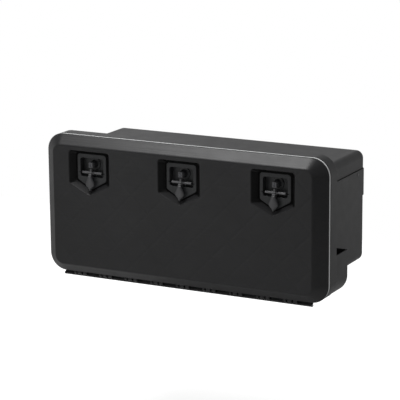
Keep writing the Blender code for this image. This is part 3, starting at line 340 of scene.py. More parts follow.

# %% [markdown]
# ## Finishes
# One function turns a hex colour, as picked in a paint program, to the linear
# values that shaders use. One more adds a node with its settings and links.
# Every finish is then the same small tree: two close shades in soft clouds,
# an uneven sheen, and reliefs laid over each other; two of them also get
# painted shade or a painted highlight in one place. It lies on the object's
# own coordinates, so it doesn't swim when a piece moves.

# %% Colours, nodes and finishes
def linear(hex_colour):
    """An sRGB hex colour as linear red, green, blue and alpha."""
    channels = [int(hex_colour[at:at + 2], 16) / 255 for at in (1, 3, 5)]
    return [c / 12.92 if c <= 0.04045 else ((c + 0.055) / 1.055) ** 2.4 for c in channels] + [1]


def add_node(tree, kind, settings=None, inputs=None):
    """A node with its properties set and its inputs filled or linked."""
    node = tree.nodes.new(kind)
    for name, value in (settings or {}).items():
        setattr(node, name, value)
    for name, value in (inputs or {}).items():
        if isinstance(value, bpy.types.NodeSocket):
            tree.links.new(value, node.inputs[name])
        else:
            node.inputs[name].default_value = value
    return node


def new_material(name):
    """An empty material and its node tree."""
    material = bpy.data.materials.new(name)
    material.use_nodes = True
    material.node_tree.nodes.clear()
    return material, material.node_tree


def wave_of(tree, place, size):
    """A soft noise whose features are about that size."""
    noise = add_node(tree, "ShaderNodeTexNoise", inputs={
        "Vector": place, "Scale": 1 / size, "Detail": 2.0, "Roughness": 0.5})
    return noise.outputs["Fac"]


def mixed(tree, share, first, second):
    """A colour between two."""
    return add_node(tree, "ShaderNodeMix", {"data_type": "RGBA"}, {
        "Factor": share, "A": first, "B": second}).outputs["Result"]


def make_finish(name, slot, shades, cloud, roughness, swing, sheen, specular=0.5, metallic=0.0,
                reliefs=(), painted_light=None):
    """A material with its slot.

    A relief is a depth with the size of its waves, or with a function that
    draws its height. Painted light is a function that finds a place, and the
    colour of the painted shade or painted highlight laid there.
    """
    material, tree = new_material(name)
    place = add_node(tree, "ShaderNodeTexCoord").outputs["Object"]
    shade = mixed(tree, wave_of(tree, place, cloud), linear(shades[0]), linear(shades[1]))
    if painted_light:
        shade = mixed(tree, painted_light[0](tree, place), shade, linear(painted_light[1]))
    rough = add_node(tree, "ShaderNodeMapRange", inputs={
        "Value": wave_of(tree, place, sheen),
        "To Min": roughness - swing, "To Max": roughness + swing})
    below = {}
    for depth, relief in reliefs:
        height = relief(tree, place) if callable(relief) else wave_of(tree, place, relief)
        bump = add_node(tree, "ShaderNodeBump", inputs={
            "Strength": 1.0, "Distance": depth, "Height": height, **below})
        below = {"Normal": bump.outputs["Normal"]}
    shader = add_node(tree, "ShaderNodeBsdfPrincipled", inputs={
        "Base Color": shade, "Roughness": rough.outputs["Result"],
        "Specular IOR Level": specular, "Metallic": metallic, **below})
    add_node(tree, "ShaderNodeOutputMaterial", inputs={"Surface": shader.outputs["BSDF"]})
    return material, slot


print("dark grey in linear light:", [round(c, 4) for c in linear("#202020")])

# %% [markdown]
# ### Places that look different
# On the door the ribs behind the face sink it along their lines, which shows
# as faint diamonds. Its mould was polished lengthwise, which leaves streaks
# along the flank. The walls of the lock pockets are painted darker, as painted
# shade in those deep recesses, and the bars of the levers are painted lighter,
# as a painted highlight.

# %% Masks and relief of the door and the levers
RIB_PITCH = 81 * MM
SINK_WIDTH = 8 * MM
FACE_SKIN = 0.5 * MM
POCKET_MIDDLE = 20 * MM
POCKET_REACH = 77 * MM
POCKET_RISE = 54.5 * MM
BAR_REACH = 5 * MM


def math_node(tree, operation, first, second=0.0):
    """The result of one sum."""
    node = add_node(tree, "ShaderNodeMath", {"operation": operation}, {0: first, 1: second})
    return node.outputs["Value"]


def fade(tree, value, start, end, low=0.0, high=1.0, kind="LINEAR"):
    """A run between two levels."""
    node = add_node(tree, "ShaderNodeMapRange", {"interpolation_type": kind}, {
        "Value": value, "From Min": start, "From Max": end, "To Min": low, "To Max": high})
    return node.outputs["Result"]


def parts_of(tree, place):
    """X, Y and Z of a place."""
    return add_node(tree, "ShaderNodeSeparateXYZ", inputs={"Vector": place}).outputs


def beside_height(tree, rise, height, reach):
    """1 where a height is within reach of another, 0 elsewhere."""
    away = math_node(tree, "ABSOLUTE", math_node(tree, "SUBTRACT", rise, height))
    return math_node(tree, "LESS_THAN", away, reach)


def sink_marks(tree, place):
    """Height of the face where ribs cross behind it: 0 on a rib, 1 elsewhere."""
    parts = parts_of(tree, place)
    up = math_node(tree, "SUBTRACT", parts["Z"], ORIGIN.z + FRONT_HEIGHT / 2)
    heights = []
    for operation in ("ADD", "SUBTRACT"):
        across = math_node(tree, operation, parts["X"], up)
        along = math_node(tree, "MULTIPLY", across, math.sqrt(0.5))
        away = math_node(tree, "PINGPONG", along, RIB_PITCH / 2)
        heights.append(fade(tree, away, 0.0, SINK_WIDTH, kind="SMOOTHSTEP"))
    behind_face = math_node(tree, "GREATER_THAN", parts["Y"], door_low.y + FACE_SKIN)
    return math_node(tree, "MAXIMUM", math_node(tree, "MINIMUM", *heights), behind_face)


def streaks(tree, place):
    """Fine lines along the door, from the polishing of its mould."""
    along = add_node(tree, "ShaderNodeMapping", inputs={"Vector": place, "Scale": (0.02, 1, 1)})
    return wave_of(tree, along.outputs["Vector"], 7 * MM)


def pocket_shade_mask(tree, place):
    """1 on the upright walls of the three lock pockets, where painted shade goes; 0 elsewhere."""
    parts = parts_of(tree, place)
    beside = math_node(tree, "PINGPONG", parts["X"], lock_pivots["right"].x / 2)
    above = beside_height(tree, parts["Z"], lock_pivots["left"].z + POCKET_MIDDLE, POCKET_RISE)
    inside = math_node(tree, "MULTIPLY", math_node(tree, "LESS_THAN", beside, POCKET_REACH), above)
    deep = fade(tree, parts["Y"], door_low.y + FACE_SKIN, door_low.y + 3 * MM)
    return math_node(tree, "MULTIPLY", inside, deep)


def lever_bar_highlight_mask(tree, place):
    """1 at the height of the levers' bars, where a painted highlight goes; 0 elsewhere."""
    return beside_height(tree, parts_of(tree, place)["Z"], lock_pivots["left"].z, BAR_REACH)


print("pockets reach", round(POCKET_REACH / MM), "mm to each side of a lock")

# %% [markdown]
# ### Moulded polypropylene and nylon
# The tub and the door are black polypropylene from a spark-eroded mould. That
# gives a fine even grain, a satin sheen and no colour but black. The real
# grain is about 0.2 mm, too fine for the picture, so it is drawn at 1 mm.
# Slow waves stand for the slight sinking of a large wall as it cools. The
# locks are glass-filled nylon, a little greyer and harder, and the levers
# are polished by fingers. The key bodies are die-cast zinc in grey enamel.

# %% Plastics and enamel
def plastic(name, slot, shades, roughness, specular, grain, lines=(), painted_light=None):
    """A moulded plastic: slow waves below, lines if any, and grain on top."""
    return make_finish(name, slot, shades, 160 * MM, roughness, 0.05, 45 * MM, specular,
                       reliefs=[mm(0.25, 130), *lines, grain], painted_light=painted_light)


TUB_LOOK = (("#1e1e1f", "#262627"), 0.42, 0.30, mm(0.03, 1.0))
tub_plastic = plastic("grained_black_polypropylene", "black_plastic", *TUB_LOOK)
# The door's pocket walls get #090909: painted shade for those deep recesses.
door_plastic = plastic("black_polypropylene_over_ribs", "black_plastic", *TUB_LOOK,
                       [(0.35 * MM, streaks), (0.28 * MM, sink_marks)], (pocket_shade_mask, "#090909"))
lock_plastic = plastic("satin_black_nylon", "lock_plastic", ("#292a2b", "#313233"),
                       0.42, 0.32, mm(0.02, 0.7))
# The bars of the levers get #5e5e60: a painted highlight on the bars.
lever_plastic = plastic("polished_black_nylon", "lock_plastic", ("#323234", "#3b3b3d"),
                        0.42, 0.65, mm(0.01, 0.7), painted_light=(lever_bar_highlight_mask, "#5e5e60"))
key_enamel = plastic("dark_grey_enamel_on_zinc", "lock_plastic", ("#4c4c4e", "#545456"),
                     0.40, 0.40, mm(0.01, 2.0))
print("plastics:", tub_plastic, door_plastic, lock_plastic)

# %% [markdown]
# ### Rubber and steel
# The seal is light grey foam rubber: matt, with a skin that has tiny pores.
# The foam of the rings in the lock grooves is near black, as painted shade
# for those deep grooves. The latch parts are zinc-plated steel, a bright grey
# with soft cloudy spots from the bath. The key plugs are blackened, the lever
# pins have a black oxide, and spring wire is drawn and oiled, so it is darker
# and sharper.

# %% Rubber and metals
def foam_rubber(name, slot, shades, specular):
    """Foam rubber with a porous skin."""
    return make_finish(name, slot, shades, 30 * MM, 0.7, 0.0, 30 * MM, specular,
                       reliefs=[mm(0.06, 1.2)])


def plated_steel(name, slot, shades, roughness, spot):
    """Metal with cloudy spots of that size."""
    return make_finish(name, slot, shades, spot, roughness, 0.07, spot, metallic=1.0)


seal_rubber = foam_rubber("grey_foam_rubber", "grey_seal", ("#bfc0c1", "#cecfcf"), 0.35)
# Near black: painted shade for the groove round each lock plate.
groove_shade_foam = foam_rubber("painted_shade_black_foam", "black_plastic", ("#070707", "#0d0d0d"), 0.10)
zinc_steel = plated_steel("zinc_plated_steel", "zinc_steel", ("#9a9da0", "#b9bcbf"), 0.36, 6 * MM)
black_steel = plated_steel("blackened_steel", "zinc_steel", ("#55565a", "#66676a"), 0.42, 5 * MM)
oxide_steel = plated_steel("black_oxide_steel", "zinc_steel", ("#141415", "#1c1c1d"), 0.50, 5 * MM)
spring_wire = plated_steel("oiled_spring_wire", "spring_steel", ("#6f7175", "#8b8d90"),
                           0.26, 3 * MM)
print("other finishes:", seal_rubber, zinc_steel, spring_wire)

# %% [markdown]
# ## The door
# The door is one moulding with walls of 3.5 mm: a flat face, a sloping flank
# and a rim. A plain box with a Bevel would miss the flank, which is wider at
# the sides than above. So the skin is a loft whose outlines slide from the
# rim to the face, and soft curves round both edges of the flank. The inner
# skin follows at the thickness of the wall, and the face keeps three holes.

# %% The profile of the door
DOOR_DEPTH = ORIGIN.y - door_low.y
DOOR_WALL = 3.5 * MM
RIM_DEPTH = 12 * MM
RIM_WALL = 1 * MM
RIM_INSETS = mm(5, 1, 2)
FACE_INSETS = mm(40.4, 31, 32)
FACE_CORNER = 26 * MM
FACE_EDGE = 0.20
FLANK_DEPTH = DOOR_DEPTH - RIM_DEPTH
FLANK_WALL = DOOR_WALL * 1.4
WALL_END = SEAM_HALF + RIM_WALL
EDGE_STEPS = 8


def bend(start, control, end, steps=EDGE_STEPS):
    """Points of a soft curve between two places, drawn towards a third."""
    start, control, end = Vector(start), Vector(control), Vector(end)
    shares = [step / steps for step in range(steps + 1)]
    return [start.lerp(control, share).lerp(control.lerp(end, share), share) for share in shares]


def door_outline(insets, corner):
    """An outline of the door, drawn in at the sides, above and below."""
    side, top, bottom = insets
    return box_outline(HALF_WIDTH - side, bottom, FRONT_HEIGHT - top, corner)


def flank_outline(share, least_inset=0):
    """The door's outline on its flank, from the rim at 0 to the face at 1."""
    insets = [max(rim + (face - rim) * share, least_inset)
              for rim, face in zip(RIM_INSETS, FACE_INSETS)]
    return door_outline(insets, FRONT_CORNER + (FACE_CORNER - FRONT_CORNER) * share)


def face_edge():
    """(share, depth) along the soft edge between face and flank."""
    return bend((1 + FACE_EDGE / 2, -DOOR_DEPTH), (1 - FACE_EDGE / 8, -DOOR_DEPTH),
                (1 - FACE_EDGE, -DOOR_DEPTH + FLANK_DEPTH * FACE_EDGE))


def door_outside():
    """Sections of the outer skin from the face to the back of the rim."""
    found = [(flank_outline(share), depth) for share, depth in face_edge()]
    rim_edge = bend((1, -RIM_DEPTH), (0.08, -WALL_END - RIM_WALL * 2.2), (0, -WALL_END))
    for share, depth in rim_edge:
        corner = FRONT_CORNER - (1 - share) * RIM_WALL
        found.append((door_outline([inset * share for inset in RIM_INSETS], corner), depth))
    return found + [(front_outline(0), -SEAM_HALF - MOULD_EDGE),
                    (front_outline(MOULD_EDGE), -SEAM_HALF)]


def door_inside():
    """Sections of the inner skin from the face to the back of the rim."""
    found = []
    for step, (share, depth) in enumerate(face_edge()):
        wall = DOOR_WALL + (FLANK_WALL - DOOR_WALL) * step / EDGE_STEPS
        found.append((flank_outline(share, DOOR_WALL), depth + wall))
    found.append((flank_outline(0, DOOR_WALL), -RIM_DEPTH + FLANK_WALL))
    return found + [(front_outline(DOOR_WALL), -SEAM_HALF)]


print("sections of the door:", len(door_outside()), "outside,", len(door_inside()), "inside")

# %% [markdown]
# ### Shield pockets
# Each lock sits in a pocket that is pressed into the face. It is square above
# and pointed below like a shield, and its walls lean inwards. The rings of a
# pocket start on the face with a small round lip and end on a floor with a
# window for the lock's cup and four holes for its screw bosses. Made this
# way the lip stays even all round, which a Boolean cut would not give.

# %% Shield outlines, each from its half width, top, shoulder and tip
POCKET = mm(75, 73.4, -35.6, -70.6)
PLATE = mm(57, 65.4, -26.6, -58.6)
PLATE_GAPS = mm(1, 1, -1, -1)
PLATE_CORNER = 10 * MM
PLATE_POINT = 4 * MM
PLATE_MARGIN = 4 * MM
PLATE_FRONT = -2 * MM
PLATE_BACK = 1 * MM
FLOOR = PLATE_BACK + GAP
FACE = door_low.y - lock_pivots["middle"].y
LIP = 1.2 * MM
SHIELD_STEPS = 8


def shield(shape, grow, corner, point):
    """A shield about the lever's pivot, grown by a gap."""
    half, top, shoulder, tip = [
        value + grow * share for value, share in zip(shape, (1, 1, -0.5, -1))]
    corners = ((0, tip), (half, shoulder), (half, top), (-half, top), (-half, shoulder))
    return rounded_outline(corners, [point] + [corner] * 4, SHIELD_STEPS)


def pocket_outline(share, grow=0):
    """Shield of the pocket, from the face at 0 to the lock plate at 1."""
    shape = [start + (end + gap - start) * share
             for start, end, gap in zip(POCKET, PLATE, PLATE_GAPS)]
    return shield(shape, grow, PLATE_CORNER + grow, PLATE_POINT + grow)


def plate_outline(inset):
    """Shield of the lock plate, drawn in by an inset."""
    return shield(PLATE, -inset - PLATE_MARGIN, PLATE_CORNER - inset, PLATE_POINT)


def placed(sections, pivot):
    """Sections about a lever's pivot, moved to the front frame."""
    across = Vector((pivot.x, pivot.z - ORIGIN.z))
    return [([point + across for point in outline], depth + (pivot.y - ORIGIN.y))
            for outline, depth in sections]


print("locks at", [round(place.x / MM, 1) for place in lock_pivots.values()], "mm")

# %% Skin of the door
CUP_WALL = 2.5 * MM
WINDOW = mm(42, -13.6, 47.9, 8)
BOSS_PLACES = [mm(side, height) for side in (-46, 46) for height in (-22, 57)]
BOSS_RADIUS = 3.8 * MM


def window_outline(grow):
    """The finger window, grown by a wall where asked."""
    half, bottom, top, corner = WINDOW
    return box_outline(half + grow, bottom - grow, top + grow, corner + max(grow, 0), SHIELD_STEPS)


def make_door_skin():
    """Face, flank, rim and pockets as one wall with two sides."""
    shape = bmesh.new()
    outer_face, outer_rim = skin(shape, door_outside())
    inner_face, inner_rim = skin(shape, door_inside())
    bridge(shape, outer_rim, inner_rim)
    outer_loops, inner_loops = [outer_face], [inner_face]
    back = FLOOR + DOOR_WALL
    pocket = [(pocket_outline(setback / (FLOOR - FACE), grow), FACE + setback)
              for grow, setback in round_edge(LIP)] + [(pocket_outline(1), FLOOR)]
    behind = [(pocket_outline(DOOR_WALL / (FLOOR - FACE), DOOR_WALL), FACE + DOOR_WALL),
              (pocket_outline(1, DOOR_WALL), back)]
    openings = [window_outline(CUP_WALL * 2)]
    openings += [circle(BOSS_RADIUS + GAP, place) for place in BOSS_PLACES]
    for pivot in lock_pivots.values():
        outer, floor = skin(shape, placed(pocket, pivot))
        inner, end = skin(shape, placed(behind, pivot))
        holes = [skin(shape, placed([(hole, FLOOR), (hole, back)], pivot)) for hole in openings]
        fill(shape, [floor] + [near for near, far in holes])
        fill(shape, [end] + [far for near, far in holes])
        outer_loops.append(outer)
        inner_loops.append(inner)
    fill(shape, outer_loops)
    fill(shape, inner_loops)
    return to_object("door_panel", shape)


door_panel = finish_piece(make_door_skin(), "door", door_plastic, replaced=["door_shell"])
print("door panel:", len(door_panel.data.polygons), "faces")

# %% [markdown]
# ## The tub
# The tub is a second moulding. A lip faces the seal, a collar as high as the
# door follows, and a step leads in to the smaller body, whose back edges are
# widely rounded. It is one loft with an outer and an inner skin. Feet and
# band are joined to it, because they cross its walls at odd places.

# %% Sizes of the tub
COLLAR_DEPTH = 54 * MM
LIP_HEIGHT = 14 * MM
COLLAR_EDGE = 2 * MM
BODY_SIDE_STEP = 46 * MM
BODY_BOTTOM = -ORIGIN.z
BODY_TOP = FRONT_HEIGHT - 48.5 * MM
BAND_PROUD = 3 * MM
BODY_BACK = tub_high.y - ORIGIN.y - BAND_PROUD
BODY_DEPTH = BODY_BACK - COLLAR_DEPTH
BODY_DRAFT = 2 * MM
BODY_CORNER = 24 * MM
BODY_EDGE = 12 * MM
STEP_FILLET = 3 * MM


def body_half_width(depth):
    """Half the body's width, which narrows towards the back."""
    return HALF_WIDTH - BODY_SIDE_STEP - BODY_DRAFT * (depth - COLLAR_DEPTH) / BODY_DEPTH


def body_outline(depth, inset=0):
    """The body's outline at one depth."""
    return box_outline(body_half_width(depth) - inset, BODY_BOTTOM + inset,
                       BODY_TOP - inset, BODY_CORNER - inset)


def back_sections(inset):
    """Sections of the body's rounded back, for either skin."""
    radius = BODY_EDGE - inset
    found = []
    for sine, cosine in quarter(8):
        depth = BODY_BACK - BODY_EDGE + radius * sine
        found.append((body_outline(depth, inset + radius * (1 - cosine)), depth))
    return found


def tub_outside():
    """Sections of the outer skin from the lip to the back wall."""
    front = edge_sections(front_outline, SEAM_HALF, COLLAR_EDGE)
    rear = [(front_outline(inset), COLLAR_DEPTH - above) for above, inset in round_edge(COLLAR_EDGE)]
    step = edge_sections(lambda inset: body_outline(COLLAR_DEPTH, -inset),
                         COLLAR_DEPTH, STEP_FILLET)
    return front + rear + step + back_sections(0)


def tub_inside():
    """Sections of the inner skin from the lip to the back wall."""
    lip, step = SEAM_HALF + WALL, COLLAR_DEPTH - WALL
    return [(front_outline(LIP_HEIGHT), SEAM_HALF), (front_outline(LIP_HEIGHT), lip),
            (front_outline(WALL), lip), (front_outline(WALL), step),
            (body_outline(step, WALL), step)] + back_sections(WALL)


print("body:", round(2 * body_half_width(COLLAR_DEPTH) / MM), "mm wide,",
      round(BODY_DEPTH / MM), "mm deep")

# %% [markdown]
# ### Feet, band and groove
# Two hollow feet carry the collar's lower corners back under the body. A
# raised band runs along the sides and the back, with a shadow groove above
# it. Both are prisms on the body's own outlines, so they follow its sizes.

# %% Feet and band
FOOT_DEPTH = 87 * MM
FOOT_HEIGHT = 142 * MM
FOOT_UNDERCUT = 18 * MM
FOOT_INSET = 1 * MM
BAND_TOP = BODY_TOP - 57.5 * MM
BAND_BOTTOM = BAND_TOP - 87 * MM
GROOVE_HEIGHT = 1.8 * MM
GROOVE_DEPTH = 1.6 * MM


def corner_of(outline):
    """The lower right corner of an outline."""
    return outline[:CORNER_STEPS + 1]


def feet(inset, towards_body, above, start, end):
    """Prisms of both feet, or of their hollows, beside and below the body's corner."""
    inner = HALF_WIDTH - FRONT_CORNER - FOOT_UNDERCUT + (inset - FOOT_INSET)
    outer = HALF_WIDTH - inset
    below = box_outline(outer, inset, FRONT_HEIGHT, FRONT_CORNER)
    beside = corner_of(body_outline(COLLAR_DEPTH, towards_body))
    outline = ([Vector((inner, inset))] + corner_of(below)
               + [Vector((outer, above)), Vector((beside[-1].x, above))] + beside[::-1]
               + [Vector((inner, BODY_BOTTOM + towards_body))])
    return [prism(outline, start, end), prism(mirrored(outline), start, end)]


def plan_outline(offset):
    """The body's plan from the collar round the back, moved out by an offset."""
    start = COLLAR_DEPTH - WALL / 2
    corner = Vector((body_half_width(BODY_BACK) - BODY_EDGE, BODY_BACK - BODY_EDGE))
    right = [Vector((body_half_width(start) + offset, start))]
    right += [corner + (BODY_EDGE + offset) * Vector((cosine, sine)) for sine, cosine in quarter(8)]
    return right + mirrored(right)[::-1]


def strip_round_body(inside, outside, low, high):
    """A strip that follows the sides and back, between two offsets."""
    return prism(plan_outline(outside) + plan_outline(inside)[::-1], low, high, "Z")


def make_tub():
    """The tub with its feet, band and groove."""
    shape = bmesh.new()
    outside, back = skin(shape, tub_outside())
    inside, floor = skin(shape, tub_inside())
    bridge(shape, outside, inside)
    shape.faces.new(back)
    shape.faces.new(floor)
    tub = to_object("box_tub", shape)
    far = COLLAR_DEPTH + FOOT_DEPTH
    band = strip_round_body(-WALL / 2, BAND_PROUD, BAND_BOTTOM, BAND_TOP)
    combine(tub, feet(FOOT_INSET, WALL / 2, FOOT_HEIGHT, COLLAR_DEPTH - WALL * 0.75, far)
            + [band], "UNION")
    groove = strip_round_body(-GROOVE_DEPTH, BAND_PROUD + OVERRUN, BAND_TOP,
                              BAND_TOP + GROOVE_HEIGHT)
    hollows = feet(FOOT_INSET + WALL, -FOOT_INSET, FOOT_HEIGHT + OVERRUN,
                   COLLAR_DEPTH + FOOT_INSET, far - WALL)
    return combine(tub, hollows + [groove], "DIFFERENCE")


box_tub = finish_piece(make_tub(), "box", tub_plastic, replaced=["body_tub"])
print("tub:", len(box_tub.data.polygons), "faces")

# %% [markdown]
# ## The seal
# A strip of foam rubber is pressed on the collar's lip and fills the seam. It
# is a closed ring with a round outer side, swept along the front outline.

# %% Seal
SEAL_THICKNESS = 8 * MM
SEAL_RECESS = 0.3 * MM
SEAL_BULGE = 1.4 * MM


def make_seal():
    """The ring of rubber between door and collar."""
    front, back = seal_low.y - ORIGIN.y, seal_high.y - ORIGIN.y
    middle, half = (front + back) / 2, (back - front) / 2
    inner = front_outline(SEAL_INSET + SEAL_THICKNESS)
    side = [(front_outline(SEAL_RECESS + SEAL_BULGE * (1 - math.sin(angle) ** 0.6)),
             middle - half * math.cos(angle))
            for angle in [math.pi * step / 12 for step in range(13)]]
    return to_object("seam_seal", loft([(inner, front)] + side + [(inner, back)], is_ring=True))


seam_seal = finish_piece(make_seal(), "box", seal_rubber, replaced=["mouth_seal"])
print("seal:", len(seam_seal.data.polygons), "faces")

# %% [markdown]
# ## Parts that repeat
# Knuckles, ribs, nuts and rivets repeat at even steps. A node tree sets one
# finished piece on every place of a row or a grid, so that a new pitch or
# count is one number. Spin turns each copy by a random angle, because nuts
# and screws never stop at the same turn.

# %% Rows of pieces
def rows_tree():
    """A node tree that sets a piece on the places of a grid."""
    tree = bpy.data.node_groups.new("rows_of_pieces", "GeometryNodeTree")
    tree.interface.new_socket("Geometry", in_out="OUTPUT", socket_type="NodeSocketGeometry")
    kinds = {"Geometry": "Geometry", "Columns": "Int", "Rows": "Int", "Column Step": "Vector",
             "Row Step": "Vector", "Start": "Vector", "Spin": "Float", "Seed": "Int",
             "Material": "Material"}
    for name, kind in kinds.items():
        tree.interface.new_socket(name, in_out="INPUT", socket_type=f"NodeSocket{kind}")
    given = add_node(tree, "NodeGroupInput").outputs
    row = add_node(tree, "GeometryNodeMeshLine", {"mode": "OFFSET"}, {
        "Count": given["Columns"], "Start Location": given["Start"],
        "Offset": given["Column Step"]}).outputs["Mesh"]
    column = add_node(tree, "GeometryNodeMeshLine", {"mode": "OFFSET"}, {
        "Count": given["Rows"], "Offset": given["Row Step"]}).outputs["Mesh"]
    grid = add_node(tree, "GeometryNodeInstanceOnPoints", inputs={
        "Points": column, "Instance": row}).outputs["Instances"]
    places = add_node(tree, "GeometryNodeRealizeInstances", inputs={"Geometry": grid})
    angle = add_node(tree, "FunctionNodeRandomValue", {"data_type": "FLOAT"}, {
        2: 0.0, 3: given["Spin"], "Seed": given["Seed"]}).outputs[1]
    turn = add_node(tree, "ShaderNodeCombineXYZ", inputs={"Y": angle}).outputs["Vector"]
    copies = add_node(tree, "GeometryNodeInstanceOnPoints", inputs={
        "Points": places.outputs["Geometry"], "Instance": given["Geometry"], "Rotation": turn})
    solid = add_node(tree, "GeometryNodeRealizeInstances", inputs={
        "Geometry": copies.outputs["Instances"]})
    dressed = add_node(tree, "GeometryNodeSetMaterial", inputs={
        "Geometry": solid.outputs["Geometry"], "Material": given["Material"]})
    add_node(tree, "NodeGroupOutput", inputs={"Geometry": dressed.outputs["Geometry"]})
    return tree


ROWS = rows_tree()


def repeat(piece, finish, columns, step, start, rows=1, rise=0.0, spin=0.0, seed=4):
    """Set a piece on every place of a row, or of rows above each other, as one mesh."""
    modifier = piece.modifiers.new("rows", "NODES")
    modifier.node_group = ROWS
    values = {"Columns": columns, "Rows": rows, "Column Step": (step, 0, 0),
              "Row Step": (0, 0, rise), "Start": start, "Spin": spin, "Seed": seed,
              "Material": finish[0]}
    for item in ROWS.interface.items_tree:
        if item.name in values:
            modifier[item.identifier] = values[item.name]
    return keep_result(piece)


print("inputs of the rows:", [item.name for item in ROWS.interface.items_tree])

# %% [markdown]
# ## The hinge
# Ten knuckles hang from the collar and nine from the door, all on one steel
# rod. Each is a barrel with a plate that runs up into its moulding, and the
# door's plates have two small openings. A thin apron of the collar hangs
# behind them, so that no light comes through the hinge. One knuckle of each
# kind is made by joining and boring, then repeated.

# %% Hinge
HINGE_AXIS = Vector(joints["door_hinge"]["pos_m"]) - ORIGIN
HINGE_LEFT = 50 * MM - HALF_WIDTH
HINGE_RIGHT = HALF_WIDTH - 58 * MM
KNUCKLE_RADIUS = 4.5 * MM
KNUCKLE_COUNT = 10
COLLAR_SHARE = 0.506
FIRST_CUT = 0.105
KNUCKLE_GAP = 0.6 * MM
KNUCKLE_EDGE = 0.35 * MM
COLLAR_SEAT = SEAM_HALF + 2 * MM
DOOR_SEAT = -SEAM_HALF - GAP
WEB_THICKNESS = 3 * MM
WEB_BURIED = 1 * MM
WHOLE_WEB = [(0, 1)]
DOOR_WEBS = [(0, 0.153), (0.284, 0.591), (0.722, 1)]
ROD_RADIUS = 2 * MM
PITCH = (HINGE_RIGHT - HINGE_LEFT) / (KNUCKLE_COUNT - 1 + COLLAR_SHARE - FIRST_CUT)


def web(seat, side):
    """Outline (back, up) of the plate above a barrel, on the collar's side or the door's."""
    _, back, up = HINGE_AXIS
    middle = back - ROD_RADIUS / 2
    edge = seat + side * WEB_THICKNESS
    points = ((seat, WEB_BURIED), (seat, -GAP), (middle, up + KNUCKLE_RADIUS - 1 * MM),
              (middle, up), (back + side * (KNUCKLE_RADIUS - MOULD_EDGE), up), (edge, up / 2),
              (edge, WEB_BURIED))
    return [Vector(point) for point in points][::side]


def knuckle(name, length, plate, spans):
    """A bored barrel with its plate, from x = 0 to its length."""
    axis = HINGE_AXIS.yz
    piece = to_object(name, prism(circle(KNUCKLE_RADIUS, axis, 28), 0, length, "X"))
    combine(piece, [prism(plate, start * length, end * length, "X") for start, end in spans],
            "UNION")
    bore = prism(circle(ROD_RADIUS + GAP, axis), -OVERRUN, length + OVERRUN, "X")
    return soften(combine(piece, [bore], "DIFFERENCE"), KNUCKLE_EDGE)


def hinge_pieces():
    """Knuckles of the collar and of the door, each kind as one mesh, and the apron."""
    length = COLLAR_SHARE * PITCH
    kinds = (
        ("collar_knuckle_left", "box", web(COLLAR_SEAT, 1), WHOLE_WEB,
         length - FIRST_CUT * PITCH, 0, 1),
        ("collar_knuckles", "box", web(COLLAR_SEAT, 1), WHOLE_WEB,
         length, (1 - FIRST_CUT) * PITCH, KNUCKLE_COUNT - 1),
        ("door_knuckles", "door", web(DOOR_SEAT, -1), DOOR_WEBS,
         PITCH - length - 2 * KNUCKLE_GAP, length - FIRST_CUT * PITCH + KNUCKLE_GAP,
         KNUCKLE_COUNT - 1))
    for name, body, plate, spans, size, start, count in kinds:
        piece = knuckle(name, size, plate, spans)
        repeat(piece, tub_plastic, count, PITCH, (HINGE_LEFT + start, 0, 0))
        finish_piece(piece, body, tub_plastic)
    apron = block((HINGE_LEFT, COLLAR_SEAT, HINGE_AXIS.z),
                  (HINGE_RIGHT, COLLAR_SEAT + WEB_THICKNESS / 2, WEB_BURIED))
    finish_piece(soften(to_object("hinge_apron", apron), MOULD_EDGE), "box", tub_plastic)
    return len(piece.data.polygons)


print("faces of the door's knuckles:", hinge_pieces(), "at", round(PITCH / MM, 1), "mm")

# %% [markdown]
# The rod is drawn steel wire. Its ends are held by two push-on caps, domed
# as stamped caps are. Small domed plugs close the holes in the band.

# %% Rod, caps and plugs
PLUG_PROUD = 1.2 * MM


def make_side_disc(node, name, dome, outside, finish):
    """A domed disc from the place of a node out to a given half width."""
    low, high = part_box(node)
    middle, radius = (low + high) / 2, (high.z - low.z) / 2
    side = 1 if high.x > 0 else -1
    height = outside - min(abs(low.x), abs(high.x))
    rim = height - dome
    profile = [(0, 0), (radius, 0), (radius, -rim)]
    profile += [(radius * cosine, -rim - dome * sine) for sine, cosine in quarter(6)[1:-1]]
    disc = to_object(name, rotated(turned(profile + [(0, -height)], 32), 90 * side, "Z"))
    finish_piece(disc, "box", finish, (side * (outside - height), middle.y, middle.z), [node])


def make_rod():
    """The rod through all knuckles, with its ends chamfered."""
    low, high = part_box("hinge_rod")
    rod = to_object("rod_of_hinge", prism(circle((high.z - low.z) / 2), low.x, high.x, "X"))
    middle = (low + high) / 2
    finish_piece(soften(rod, 0.5 * MM), "box", zinc_steel, (0, middle.y, middle.z), ["hinge_rod"])


make_rod()
for side, end in (("left", 0), ("right", 1)):
    cap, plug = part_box(f"{side}_rod_cap")[end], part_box(f"{side}_side_plug")[end]
    make_side_disc(f"{side}_rod_cap", f"{side}_end_cap", 1.5 * MM, abs(cap.x),
                   (zinc_steel[0], "black_plastic"))
    make_side_disc(f"{side}_side_plug", f"{side}_band_plug", 1 * MM,
                   body_half_width(plug.y - ORIGIN.y) + BAND_PROUD + PLUG_PROUD, key_enamel)
print("rod, caps and plugs made")

# %% [markdown]
# ## Ribs
# A lattice of thin ribs crosses behind the face of the door, and five flat
# ribs stand on the back wall of the tub. The lattice is one long rib that is
# repeated along both diagonals and joined. It is then trimmed to the flat of
# the face and cut free of the three pockets.

# %% Diamond ribs of the door
RIB_THICKNESS = 2.8 * MM
RIB_HEIGHT = 12 * MM
RIB_MARGIN = 6 * MM
RIB_BURIED = 1 * MM


